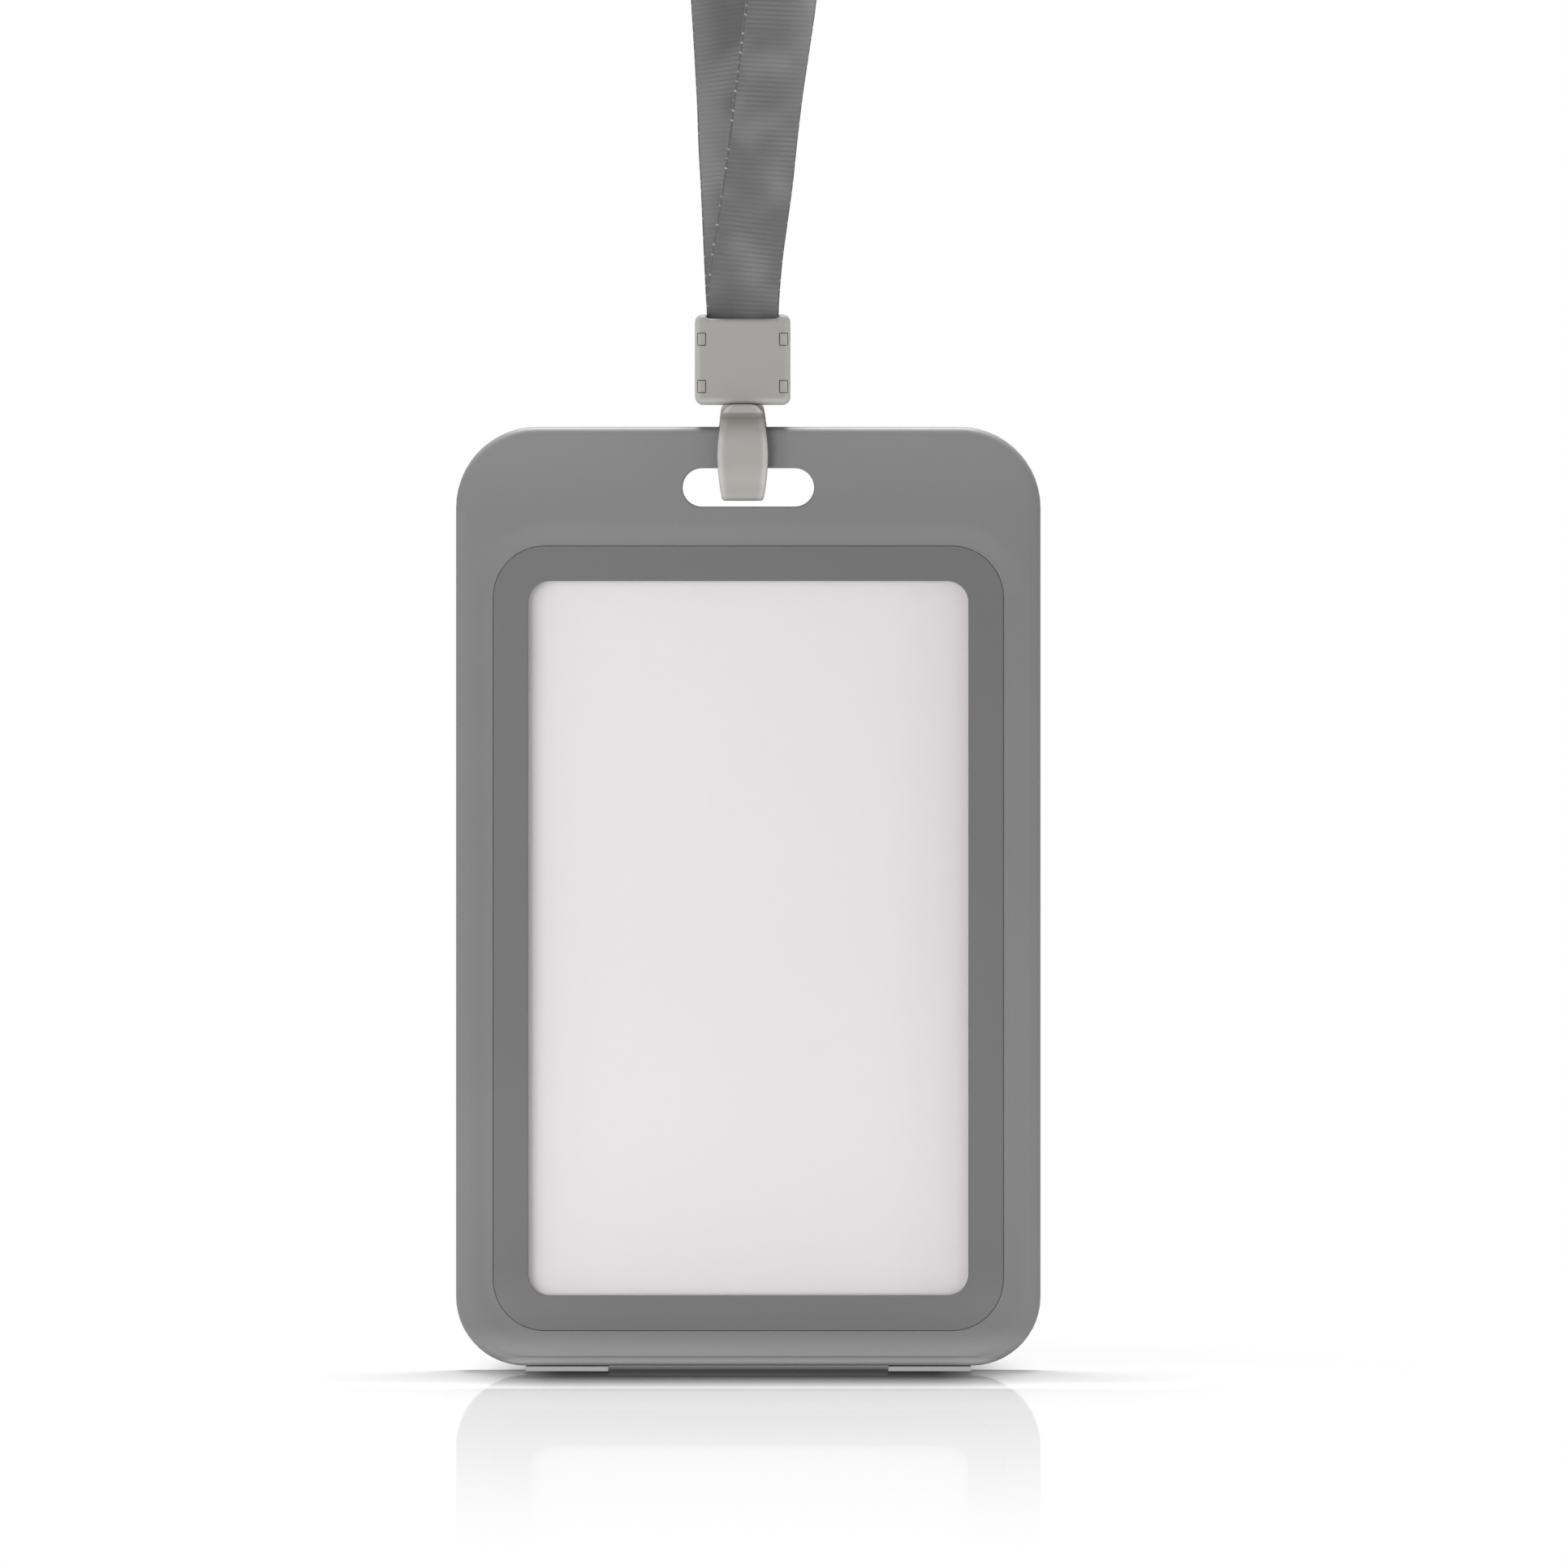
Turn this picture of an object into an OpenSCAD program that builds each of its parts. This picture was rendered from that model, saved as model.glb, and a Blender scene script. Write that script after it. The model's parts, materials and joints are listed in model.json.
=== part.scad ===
// Rigid badge holder hanging from a ribbon lanyard by a snap clasp and a swivel hook.
// Millimetres, +Z up, the window faces -Y. The origin is the top of the lanyard's loop,
// where the holder is hung, and every height is worked out downwards from there.

/* [Card] */
// Width of the card that the holder takes
card_w = 54; // [50:0.1:60]
// Height of the card
card_h = 85.6; // [80:0.1:95]
// Thickness of the card
card_t = 0.76; // [0.5:0.02:0.9]
// Corner radius of the card
card_r = 3.2; // [1:0.1:4]

/* [Window] */
// How far each side of the bezel covers the card
lip_side = 1.4; // [0.8:0.05:2]
// How far the top and bottom of the bezel cover the card
lip_end = 1.25; // [0.8:0.05:2]
// Corner radius of the window
window_r = 2.5; // [1:0.1:4]
// Thickness of the clear pane
pane_t = 0.5; // [0.3:0.05:0.6]

/* [Bezel] */
// Width of the bezel, from its outer edge to the window
bezel_w = 4.15; // [3:0.05:6]
// Thickness of the bezel
bezel_t = 1; // [0.8:0.05:1.2]
// How far the bezel lies below the front of the holder
bezel_sink = 0.6; // [0.4:0.05:0.8]
// Outer corner radius of the bezel
bezel_r = 6.1; // [5:0.1:7]
// Bevel along the window's edge
window_bevel = 0.5; // [0.2:0.05:0.7]

/* [Holder] */
// Width of the frame beside the bezel
rim_w = 4.25; // [4:0.05:6]
// Width of the frame below the bezel
rim_bottom = 4; // [3.8:0.05:6]
// Height of the head above the bezel
head_h = 13.8; // [12.5:0.1:18]
// Thickness of the holder
holder_t = 5.4; // [5.2:0.1:7]
// Radius of the two top corners
top_r = 9.4; // [7:0.1:12]
// Radius of the two bottom corners
bottom_r = 8; // [7:0.1:10]
// Rounding of the front edge
front_round = 1.2; // [0.6:0.1:1.6]
// Rounding of the back edge
back_round = 0.5; // [0.3:0.05:0.8]
// Width of the bevel that leads down to the bezel
dish_w = 2; // [1:0.1:2.5]
// Depth of that bevel
dish_depth = 0.5; // [0.2:0.05:0.55]

/* [Slot] */
// Length of the hanging slot
slot_w = 15.3; // [12:0.1:18]
// Height of the hanging slot
slot_h = 4.5; // [4.2:0.1:5]
// Height of the band that is left above the slot
slot_edge = 4.8; // [3.5:0.1:6]
// Thickness of that band
band_t = 3; // [2.4:0.1:3.6]

/* [Hook] */
// Inner radius of the hook's bow
bow_r = 2.4; // [2.3:0.05:3]
// Thickness of the bow's two legs
leg_t = 1.9; // [1.5:0.05:2.4]
// Thickness of the bow at its lowest point
bow_wall = 2.95; // [2.4:0.05:3.1]
// Width of the hook at its widest
barrel_w = 5.9; // [5.4:0.1:6.4]
// Width of the hook at its two ends
barrel_end_w = 4.8; // [4:0.1:5.2]
// Thickness of the shoulder that carries the neck
shoulder_t = 1.8; // [1.2:0.05:2.2]
// Radius of the swivel neck
neck_r = 1.6; // [1.2:0.05:2]
// Radius of the flange that holds the neck in the clasp
flange_r = 2.6; // [2.3:0.05:3]
// Thickness of that flange
flange_t = 1.1; // [0.8:0.05:1.3]

/* [Clasp] */
// Width of the clasp
clasp_w = 11.1; // [10.9:0.1:13]
// Height of the clasp
clasp_h = 10.4; // [10:0.1:14]
// Thickness of the clasp, both shells together
clasp_t = 6.6; // [6.2:0.1:8]
// Corner radius of the clasp, seen from the front
clasp_r = 0.9; // [0.4:0.05:1.2]
// Rounding round the faces of the clasp
clasp_round = 0.8; // [0.3:0.05:1]
// Thickness of the wall that the neck passes through
clasp_floor = 1.2; // [0.9:0.05:1.5]
// Width of the four latches
latch_w = 0.9; // [0.7:0.05:1]
// Height of the four latches
latch_h = 1.4; // [1:0.05:1.8]

/* [Lanyard] */
// Width of the ribbon
ribbon_w = 8.4; // [8:0.1:8.4]
// Thickness of the ribbon
ribbon_t = 0.7; // [0.5:0.05:0.8]

/* [Hidden] */
$fn = 96;
// Sides of a full circle on rounded shells
shell_fn = 48;
// Overrun of every cut, and thickness of the layers that a rounded shell is drawn from
over = 0.5;
layer = 0.02;
// Steps of the rounding of the holder's and of the clasp's edges, in degrees
holder_steps = [0 : 15 : 90];
clasp_steps = [0 : 30 : 90];

// Clearances: round a fixed piece, between moving faces, and of the neck in its bore
fit_gap = 0.1;
slide_gap = 0.2;
card_gap = 0.15;
bore_gap = 0.05;

// Holder, seen from the front
window_w = card_w - 2 * lip_side;
window_h = card_h - 2 * lip_end;
recess_w = window_w + 2 * bezel_w;
recess_h = window_h + 2 * bezel_w;
holder_w = recess_w + 2 * rim_w;
holder_h = rim_bottom + recess_h + head_h;

// Heights from the loop down to the bottom of the holder
lanyard_drop = 77;
swivel_gap = 0.15;
head_room = 0.65;
clasp_top = -lanyard_drop;
clasp_bottom = clasp_top - clasp_h;
shoulder_top = clasp_bottom - swivel_gap;
shoulder_bottom = shoulder_top - shoulder_t;
holder_top = shoulder_bottom - head_room;
slot_top = holder_top - slot_edge;
slot_z = slot_top - slot_h / 2;
recess_z = holder_top - head_h - recess_h;
window_z = recess_z + bezel_w;
card_z = window_z - lip_end;
holder_bottom = holder_top - holder_h;

// Depths behind the front of the holder: the bezel, the pane, the ledge, the card and the tray
front_y = -band_t / 2;
ledge_t = 0.8;
ledge_step = 0.6;
pane_d = bezel_sink + bezel_t;
ledge_d = pane_d + pane_t;
pocket_d = ledge_d + ledge_t;
card_d = pocket_d + card_gap;
tray_d = card_d + card_t + card_gap;
pane_edge = 0.35;

// The tray's fence round the card, its side rails and the pocket that it slides in
fence_gap = 0.3;
fence_t = 1.2;
rail_step = 0.5;
rail_w = 1.2;
rail_t = 0.55;
rail_lift = 0.35;
rail_head = 6;
tray_half_w = card_w / 2 + fence_gap + fence_t + rail_step;
pocket_half_w = tray_half_w + slide_gap;
pocket_head = 3.9;
pocket_top = card_z + card_h + pocket_head;
pocket_r = 1.5;
tray_r = 3;

// Finger catches below the bottom edge
catch_w = 9.6;
catch_x = 21.1;
catch_h = 0.66;
catch_d = front_round;
catch_gap = 0.12;
catch_round = 0.3;

// Oblong hole in the tray that the card is pushed out through, and the thumb grip below it
push_w = 14;
push_h = 26;
grip_w = 26;
grip_h = 13;
grip_z = 12;
grip_depth = 0.5;
grip_ribs = 6;
grip_rib_t = 1;
// Two bent fingers in the tray that press the card forward
finger_x = 20;
finger_w = 5;
finger_l = 16;
finger_cut = 0.8;
finger_pad = 1.4;
// Where the fingers stand, as a share of the card's height
finger_z_share = 0.66;

// Back of the head: relief for the hook, and hollows that leave an even wall
relief_w = 24;
relief_foot = 2.2;
relief_r = 3;
core_wall = 1.6;
core_rib = 1.2;
core_d = 2.2;
core_r = 0.3;
// Row of hollows in each side wall
side_core_w = 1.2;
side_core_wall = 1.1;
side_cores = 7;

// Hook: it hangs a little left of the middle of the slot
hook_x = -0.65;
seat_gap = 0.25;
bow_in_z = slot_top + sqrt(pow(bow_r - seat_gap, 2) - pow(band_t / 2, 2));
bow_bottom = bow_in_z - bow_r - bow_wall;
bow_out_r = bow_r + leg_t;
bow_out_z = bow_bottom + bow_out_r;
shoulder_r = 1.4;
seam_lead = 0.3;
seam_y = front_y - seam_lead;
seam_gap = 0.12;
tongue_gap = 0.25;
tongue_top = clasp_bottom - swivel_gap;
// Round tip of the tongue, narrower than the shoulder behind it
tip_r = 1.1;
tip_inset = 0.15;
// Thumb lip at the tip of the tongue, and the face that leans back below it
lip_h = 1.1;
lip_nose = 0.3;
lean_h = 2.6;
lean_depth = 0.85;
barrel_mid = (tongue_top + bow_bottom) / 2;
barrel_swell = (barrel_w - barrel_end_w) / 2;
barrel_r = (pow((tongue_top - bow_bottom) / 2, 2) + pow(barrel_swell, 2)) / (2 * barrel_swell);

// Clasp: neck bore, flange chamber, latches, and the mouth and teeth that hold the ribbon
chamber_r = flange_r + swivel_gap;
chamber_h = flange_t + 2 * swivel_gap;
chamber_z = clasp_bottom + clasp_floor;
flange_z = chamber_z + swivel_gap;
flange_bevel = 0.3;
latch_x = ribbon_w / 2 + fit_gap + latch_w / 2;
latch_low = 1.3;
latch_high = 6.8;
latch_sink = 0.12;
mouth_wall = 0.7;
mouth_z = chamber_z + chamber_h + mouth_wall;
mouth_w = ribbon_w + 2 * fit_gap;
tooth_h = 0.35;
tooth_t = 0.6;
tooth_rows = 3;
tooth_pitch = 1.3;
tooth_z = mouth_z + tooth_t;
ribbon_off = ribbon_t / 2 + bore_gap;
mouth_d = ribbon_off + ribbon_t / 2 + bore_gap + tooth_h;
notch_h = 0.5;

// Route of the ribbon from inside the clasp, round the loop and back:
// sideways, depth, height, and how many degrees the ribbon is turned about its own run
ribbon_route = [
    [-0.65, -0.4, -83.3, 0], [-0.65, -0.4, -77, 0], [-0.5, -0.8, -74, 4], [-0.1, -1.5, -70, 8],
    [0.5, -2.4, -66, 12], [1.1, -3.4, -62, 15], [1.7, -4.6, -57, 18], [2.3, -6, -52, 18],
    [3, -7.6, -47, 16], [3.7, -9.4, -42, 14], [4.2, -11.3, -37, 12], [4.4, -13.3, -32, 10],
    [4.4, -15.3, -27, 8], [4.2, -16.8, -22, 6], [3.8, -17.4, -17, 5], [3.2, -16.6, -12, 4],
    [2.5, -14, -7.2, 3], [1.7, -9.8, -3.2, 2], [0.9, -5, -0.8, 1], [0, 0, 0, 0],
    [-0.9, 5, -0.8, 1], [-1.7, 9.8, -3.2, 2], [-2.4, 14, -7.2, 3], [-2.9, 16.6, -12, 4],
    [-3.2, 17.4, -17, 5], [-3.3, 16.8, -22, 6], [-3.2, 15.3, -27, 8], [-3, 13.3, -32, 10],
    [-2.8, 11.3, -37, 12], [-2.5, 9.4, -42, 14], [-2.2, 7.6, -47, 14], [-1.9, 6, -52, 12],
    [-1.7, 4.6, -57, 10], [-1.4, 3.4, -62, 8], [-1.2, 2.4, -66, 6], [-1, 1.5, -70, 4],
    [-0.8, 0.8, -74, 2], [-0.65, 0.4, -77, 0], [-0.65, 0.4, -83.3, 0]
];

// Outline with its foot at y = 0, centred in x, with its own radius for top and bottom corners
module outline(w, h, top, bottom) {
    translate([-w / 2, bottom]) square([w, h - top - bottom]);
    translate([bottom - w / 2, 0]) square([w - 2 * bottom, h - top]);
    translate([top - w / 2, bottom]) square([w - 2 * top, h - bottom]);
    for (side = [-1, 1]) {
        translate([side * (w / 2 - bottom), bottom]) circle(r = bottom);
        translate([side * (w / 2 - top), h - top]) circle(r = top);
    }
}

// Upright oblong hole with round ends, centred in x, with its foot at y = 0
module oblong(w, h) {
    translate([-w / 2, w / 2]) square([w, h - w]);
    for (y = [w / 2, h - w / 2]) translate([0, y]) circle(d = w);
}

// Stands a flat outline up between two depths behind the front of the holder
module slab(near, far) {
    translate([0, front_y + far, 0]) rotate([90, 0, 0]) linear_extrude(far - near) children();
}

// Outline of the holder drawn in by an inset
module holder_outline(inset) {
    translate([0, holder_bottom + inset])
        outline(holder_w - 2 * inset, holder_h - 2 * inset, top_r - inset, bottom_r - inset);
}

// The solid block of the holder, with its front and back edges rounded
module holder_block() {
    hull() {
        for (a = holder_steps) {
            depth = front_round * (1 - cos(a));
            slab(depth, depth + layer) holder_outline(front_round * (1 - sin(a)), $fn = shell_fn);
        }
        for (a = holder_steps) {
            depth = holder_t - back_round * (1 - cos(a));
            slab(depth - layer, depth) holder_outline(back_round * (1 - sin(a)), $fn = shell_fn);
        }
    }
}

// Outline of the bezel's recess, grown by a margin
module recess_outline(margin) {
    translate([0, recess_z - margin])
        outline(recess_w + 2 * margin, recess_h + 2 * margin, bezel_r + margin, bezel_r + margin);
}

// Outline of the window, grown by a margin
module window_outline(margin) {
    translate([0, window_z - margin])
        outline(window_w + 2 * margin, window_h + 2 * margin, window_r + margin, window_r + margin);
}

// Slot with round ends, right through the band
module hanging_slot() {
    straight = slot_w - slot_h;
    translate([-straight / 2, front_y - over, slot_top - slot_h]) cube([straight, holder_t + 2 * over, slot_h]);
    for (side = [-1, 1])
        translate([side * straight / 2, front_y - over, slot_z]) rotate([-90, 0, 0])
            cylinder(d = slot_h, h = holder_t + 2 * over);
}

// Relief that thins the head to the band and lets the hook pass behind it
module hook_relief() {
    foot = slot_top - slot_h - relief_foot;
    slab(band_t, holder_t + over) translate([0, foot])
        outline(relief_w, holder_top - foot + relief_r + over, relief_r, relief_r);
}

// Two hollows on each side of the head, with a rib between them
module head_cores() {
    inner = relief_w / 2 + core_wall;
    reach = holder_w / 2 - core_wall - inner;
    core_w = (reach - core_rib) / 2;
    low = pocket_top + core_wall;
    high = holder_top - core_wall;
    step = top_r / 2;
    for (side = [-1, 1], i = [0, 1]) {
        mid = inner + core_w / 2 + i * (core_w + core_rib);
        slab(core_d, holder_t + over) translate([side * mid, low])
            outline(core_w, high - low - i * step, core_r, core_r);
    }
}

// Row of hollows that leaves an even wall round each side rail
module side_cores() {
    low = holder_bottom + bottom_r + core_wall;
    pitch = (pocket_top - low) / side_cores;
    x = holder_w / 2 - side_core_wall - side_core_w;
    for (side = [-1, 1], i = [0 : side_cores - 1])
        slab(pocket_d, holder_t + over)
            translate([side * (x + side_core_w / 2) - side_core_w / 2, low + i * pitch])
                square([side_core_w, pitch - core_rib]);
}

// Outer frame with the head, the ledge behind the window and the pocket for the tray
module front_cover() color([0.53, 0.53, 0.53]) difference() {
    holder_block();
    hull() {
        slab(-layer, 0) recess_outline(dish_w, $fn = shell_fn);
        slab(dish_depth, dish_depth + layer) recess_outline(0, $fn = shell_fn);
    }
    slab(-over, ledge_d) recess_outline(0);
    slab(bezel_sink, holder_t + over) window_outline(ledge_step);
    slab(pocket_d, holder_t + over) translate([0, holder_bottom - over - pocket_r])
        outline(2 * pocket_half_w, pocket_top - holder_bottom + over + pocket_r, pocket_r, pocket_r);
    rail_low = tray_d + rail_lift - slide_gap;
    slab(rail_low, rail_low + rail_t + 2 * slide_gap) translate([-pocket_half_w - rail_w, holder_bottom - over])
        square([2 * (pocket_half_w + rail_w), pocket_top - rail_head + slide_gap - holder_bottom + over]);
    hanging_slot();
    hook_relief();
    head_cores();
    side_cores();
}

// Bezel that holds the pane against the ledge
module window_bezel() color([0.46, 0.46, 0.46]) difference() {
    slab(bezel_sink, pane_d) recess_outline(-fit_gap);
    slab(bezel_sink - over, pane_d + over) window_outline(0);
    hull() {
        slab(bezel_sink - layer, bezel_sink) window_outline(window_bevel, $fn = shell_fn);
        slab(bezel_sink + window_bevel, bezel_sink + window_bevel + layer) window_outline(0, $fn = shell_fn);
    }
}

// Clear pane
module window_pane() color([0.9, 0.92, 0.93, 0.3]) slab(pane_d, ledge_d) recess_outline(-pane_edge);

// Blank card
module card_insert() color([0.91, 0.9, 0.9]) slab(card_d, card_d + card_t) translate([0, card_z])
    outline(card_w, card_h, card_r, card_r);

// Cut round three sides of a bent finger in the tray's floor
module finger_slit() {
    difference() {
        translate([-finger_w / 2 - finger_cut, 0]) square([finger_w + 2 * finger_cut, finger_l + finger_cut]);
        translate([-finger_w / 2, -over]) square([finger_w, finger_l + over]);
    }
}

// Outline of the tray: square at the foot, where the holder's own outline trims it
module tray_outline(half_w, corner) intersection() {
    translate([0, holder_bottom - 2 * corner])
        outline(2 * half_w, pocket_top - slide_gap - holder_bottom + 2 * corner, corner, corner);
    holder_outline(0);
}

// Tray that slides up into the frame from below and carries the card
module back_tray() color([0.5, 0.5, 0.5]) {
    finger_z = card_z + card_h * finger_z_share;
    end_h = card_z - fence_gap - holder_bottom;
    rail_low = tray_d + rail_lift;
    rail_foot = holder_bottom + bottom_r;
    difference() {
        union() {
            slab(tray_d, holder_t) tray_outline(tray_half_w, tray_r);
            // Fence along both sides and the foot of the card, down to the bottom edge
            slab(card_d, tray_d + layer) difference() {
                tray_outline(tray_half_w - rail_step, pocket_r);
                translate([0, holder_bottom + end_h])
                    outline(card_w + 2 * fence_gap, holder_h, card_r, card_r);
            }
            slab(rail_low, rail_low + rail_t) translate([-tray_half_w - rail_w, rail_foot])
                square([2 * (tray_half_w + rail_w), pocket_top - rail_head - rail_foot]);
            for (side = [-1, 1]) finger_catch(side * catch_x);
            for (side = [-1, 1])
                translate([side * finger_x, front_y + tray_d + layer, finger_z + finger_l - finger_pad])
                    rotate([90, 0, 0]) cylinder(r = finger_pad, h = card_gap / 2 + layer);
        }
        slab(tray_d - over, holder_t + over) translate([0, card_z + card_h / 2 - push_h / 2])
            oblong(push_w, push_h);
        for (side = [-1, 1])
            slab(tray_d - over, holder_t + over) translate([side * finger_x, finger_z]) finger_slit();
        thumb_grip();
    }
}

// Catch under the bottom edge, one for each forefinger
module finger_catch(x) {
    low = holder_bottom - catch_h;
    translate([x - catch_w / 2, front_y + catch_d, low])
        cube([catch_w, holder_t - back_round - catch_d, catch_h - catch_gap]);
    translate([x - catch_w / 2, front_y + card_d, low])
        cube([catch_w, holder_t - back_round - card_d, catch_h + catch_round]);
}

// Hollows between the ribs of the thumb grip
module thumb_grip() {
    pitch = grip_h / grip_ribs;
    for (i = [0 : grip_ribs - 1])
        translate([-grip_w / 2, front_y + holder_t - grip_depth, holder_bottom + grip_z + i * pitch])
            cube([grip_w, grip_depth + over, pitch - grip_rib_t]);
}

// Side view of the whole hook: bow, two legs and shoulder
module hook_side() difference() {
    union() {
        translate([0, bow_out_z]) circle(r = bow_out_r);
        translate([-bow_out_r, bow_out_z]) square([2 * bow_out_r, shoulder_top - shoulder_r - bow_out_z]);
        translate([-bow_out_r, bow_out_z]) square([2 * bow_out_r - shoulder_r, shoulder_top - bow_out_z]);
        translate([bow_out_r - shoulder_r, shoulder_top - shoulder_r]) circle(r = shoulder_r);
    }
    translate([0, bow_in_z]) circle(r = bow_r);
    translate([-bow_r, bow_in_z]) square([2 * bow_r, shoulder_bottom - bow_in_z]);
}

// Front view of the hook: a barrel between two wide arcs
module hook_front() hull() intersection() {
    reach = barrel_r - barrel_w / 2;
    translate([reach, barrel_mid]) circle(r = barrel_r);
    translate([-reach, barrel_mid]) circle(r = barrel_r);
    translate([-barrel_w, bow_bottom - over]) square([2 * barrel_w, shoulder_top - bow_bottom + 2 * over]);
}

// Carries a side view across the hook, and trims it to a front view
module hook_cross() intersection() {
    rotate([90, 0, 90]) linear_extrude(barrel_w + 2 * over, center = true) children(0);
    rotate([90, 0, 0]) linear_extrude(2 * (bow_out_r + over), center = true) children(1);
}

// Rear leg, bow, shoulder and swivel neck
module hook() color([0.67, 0.66, 0.64]) translate([hook_x, 0, 0]) {
    hook_cross() {
        intersection() {
            hook_side();
            union() {
                translate([seam_y, bow_bottom - over])
                    square([bow_out_r + over - seam_y, shoulder_top - bow_bottom + 2 * over]);
                translate([tongue_gap - bow_r, shoulder_bottom - over])
                    square([2 * bow_r, shoulder_t + 2 * over]);
            }
        }
        hook_front();
    }
    translate([0, 0, shoulder_top - over]) cylinder(r = neck_r, h = flange_z - shoulder_top + 2 * over);
    translate([0, 0, flange_z]) cylinder(r = flange_r, h = flange_t - flange_bevel);
    translate([0, 0, flange_z + flange_t - flange_bevel])
        cylinder(r1 = flange_r, r2 = flange_r - flange_bevel, h = flange_bevel);
}

// Side view of the tongue: front leg, leaning face and thumb lip
module tongue_side() difference() {
    intersection() {
        hook_side();
        union() {
            translate([-bow_out_r - over, bow_bottom - over])
                square([bow_out_r + over + seam_y - seam_gap, bow_in_z - bow_bottom + over]);
            translate([-bow_out_r - over, bow_in_z - over])
                square([leg_t + over, tongue_top - bow_in_z + over]);
        }
    }
    lip_z = tongue_top - lip_h;
    polygon([[-bow_out_r - over, lip_z - lean_h], [-bow_out_r, lip_z - lean_h],
             [-bow_out_r + lean_depth, lip_z - lip_nose], [-bow_out_r + lip_nose, lip_z],
             [-bow_out_r - over, lip_z]]);
    polygon([[-bow_out_r - over, tongue_top - lip_nose], [-bow_out_r, tongue_top - lip_nose],
             [-bow_out_r + lip_nose, tongue_top], [-bow_out_r + lip_nose, tongue_top + over],
             [-bow_out_r - over, tongue_top + over]]);
}

// Front view of the tongue: it narrows from the middle of the barrel to its round tip
module tongue_front() hull() {
    reach = barrel_end_w / 2 - tip_inset - tip_r;
    for (side = [-1, 1]) translate([side * reach, tongue_top - tip_r]) circle(r = tip_r);
    translate([-barrel_w / 2, bow_bottom - over]) square([barrel_w, barrel_mid - bow_bottom + over]);
}

// Sprung tongue that closes the hook
module hook_tongue() color([0.69, 0.68, 0.66]) translate([hook_x, 0, 0]) hook_cross() {
    tongue_side();
    intersection() {
        hook_front();
        tongue_front();
    }
}

// The near half of the clasp's outer block, from its front face to the joint between the shells
module clasp_block() hull() {
    for (a = clasp_steps) {
        inset = clasp_round * (1 - sin(a));
        y = clasp_round * (1 - cos(a)) - clasp_t / 2;
        translate([hook_x, y + layer, clasp_bottom + inset]) rotate([90, 0, 0]) linear_extrude(layer)
            outline(clasp_w - 2 * inset, clasp_h - 2 * inset, clasp_r, clasp_r, $fn = shell_fn);
    }
    translate([hook_x, 0, clasp_bottom]) rotate([90, 0, 0]) linear_extrude(layer)
        outline(clasp_w, clasp_h, clasp_r, clasp_r, $fn = shell_fn);
}

// Room inside the clasp: the neck's bore, the flange's chamber and the ribbon's mouth
module clasp_room() translate([hook_x, 0, 0]) {
    translate([0, 0, clasp_bottom - over]) cylinder(r = neck_r + bore_gap, h = clasp_floor + 2 * over);
    translate([0, 0, chamber_z]) cylinder(r = chamber_r, h = chamber_h);
    translate([-mouth_w / 2, -mouth_d, mouth_z]) cube([mouth_w, 2 * mouth_d, clasp_top - mouth_z + over]);
}

// Rows of teeth that bite the ribbon, pointing in from one side
module ribbon_teeth(face, first) {
    for (i = [0 : tooth_rows - 1])
        translate([hook_x, face * mouth_d, tooth_z + (i + first) * tooth_pitch]) rotate([90, 0, 90])
            linear_extrude(mouth_w, center = true)
                polygon([[0, -tooth_t / 2], [-face * tooth_h, 0], [0, tooth_t / 2]]);
}

// Places something at each of the four latches
module at_latches() {
    for (side = [-1, 1], z = [latch_low, latch_high])
        translate([hook_x + side * latch_x, 0, clasp_bottom + z]) children();
}

// Front shell of the clasp, with a window for each latch
module clasp_front() color([0.66, 0.65, 0.63]) {
    difference() {
        clasp_block();
        clasp_room();
        at_latches() translate([-latch_w / 2 - fit_gap, -clasp_t / 2 - over, -fit_gap])
            cube([latch_w + 2 * fit_gap, clasp_t / 2 + 2 * over, latch_h + 2 * fit_gap]);
        translate([hook_x - mouth_w / 2, -clasp_t / 2 - over, clasp_top - notch_h])
            cube([mouth_w, clasp_t / 2 + over, notch_h + over]);
    }
    ribbon_teeth(-1, 0);
}

// Back shell of the clasp, with the four latches
module clasp_back() color([0.66, 0.65, 0.63]) {
    difference() {
        mirror([0, 1, 0]) clasp_block();
        clasp_room();
    }
    ribbon_teeth(1, 1 / 2);
    at_latches() translate([-latch_w / 2, latch_sink - clasp_t / 2, 0])
        cube([latch_w, clasp_t / 2 - latch_sink + layer, latch_h]);
}

// Directions along the route: the run at each point, and across the ribbon there
function spot(i) = [ribbon_route[i].x, ribbon_route[i].y, ribbon_route[i].z];
function unit(v) = v / norm(v);
function run(i) = unit(spot(min(i + 1, len(ribbon_route) - 1)) - spot(max(i - 1, 0)));
function level(i) = unit([1, 0, 0] - run(i) * run(i).x);
function across(i) = let(turn = ribbon_route[i][3], flat = level(i))
    flat * cos(turn) + cross(run(i), flat) * sin(turn);
function through(i) = cross(run(i), across(i));

// Eight corners of the ribbon's section, as shares of its half width and half thickness
section_shares = [[1, -0.5], [1, 0.5], [0.96, 1], [-0.96, 1], [-1, 0.5], [-1, -0.5], [-0.96, -1], [0.96, -1]];
function ribbon_ring(i) = [for (s = section_shares)
    spot(i) + across(i) * s.x * ribbon_w / 2 + through(i) * s.y * ribbon_t / 2];

// Ribbon that comes out of the clasp, goes round the loop and back into the clasp
module lanyard() color([0.47, 0.47, 0.47]) {
    rings = len(ribbon_route);
    sides = len(section_shares);
    points = [for (i = [0 : rings - 1]) each ribbon_ring(i)];
    skin = [for (i = [0 : rings - 2], j = [0 : sides - 1])
        let(a = i * sides + j, b = i * sides + (j + 1) % sides)
        each [[a, a + sides, b], [b, a + sides, b + sides]]];
    ends = [[for (j = [0 : sides - 1]) j], [for (j = [sides - 1 : -1 : 0]) (rings - 1) * sides + j]];
    polyhedron(points, concat(skin, ends));
}

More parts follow.
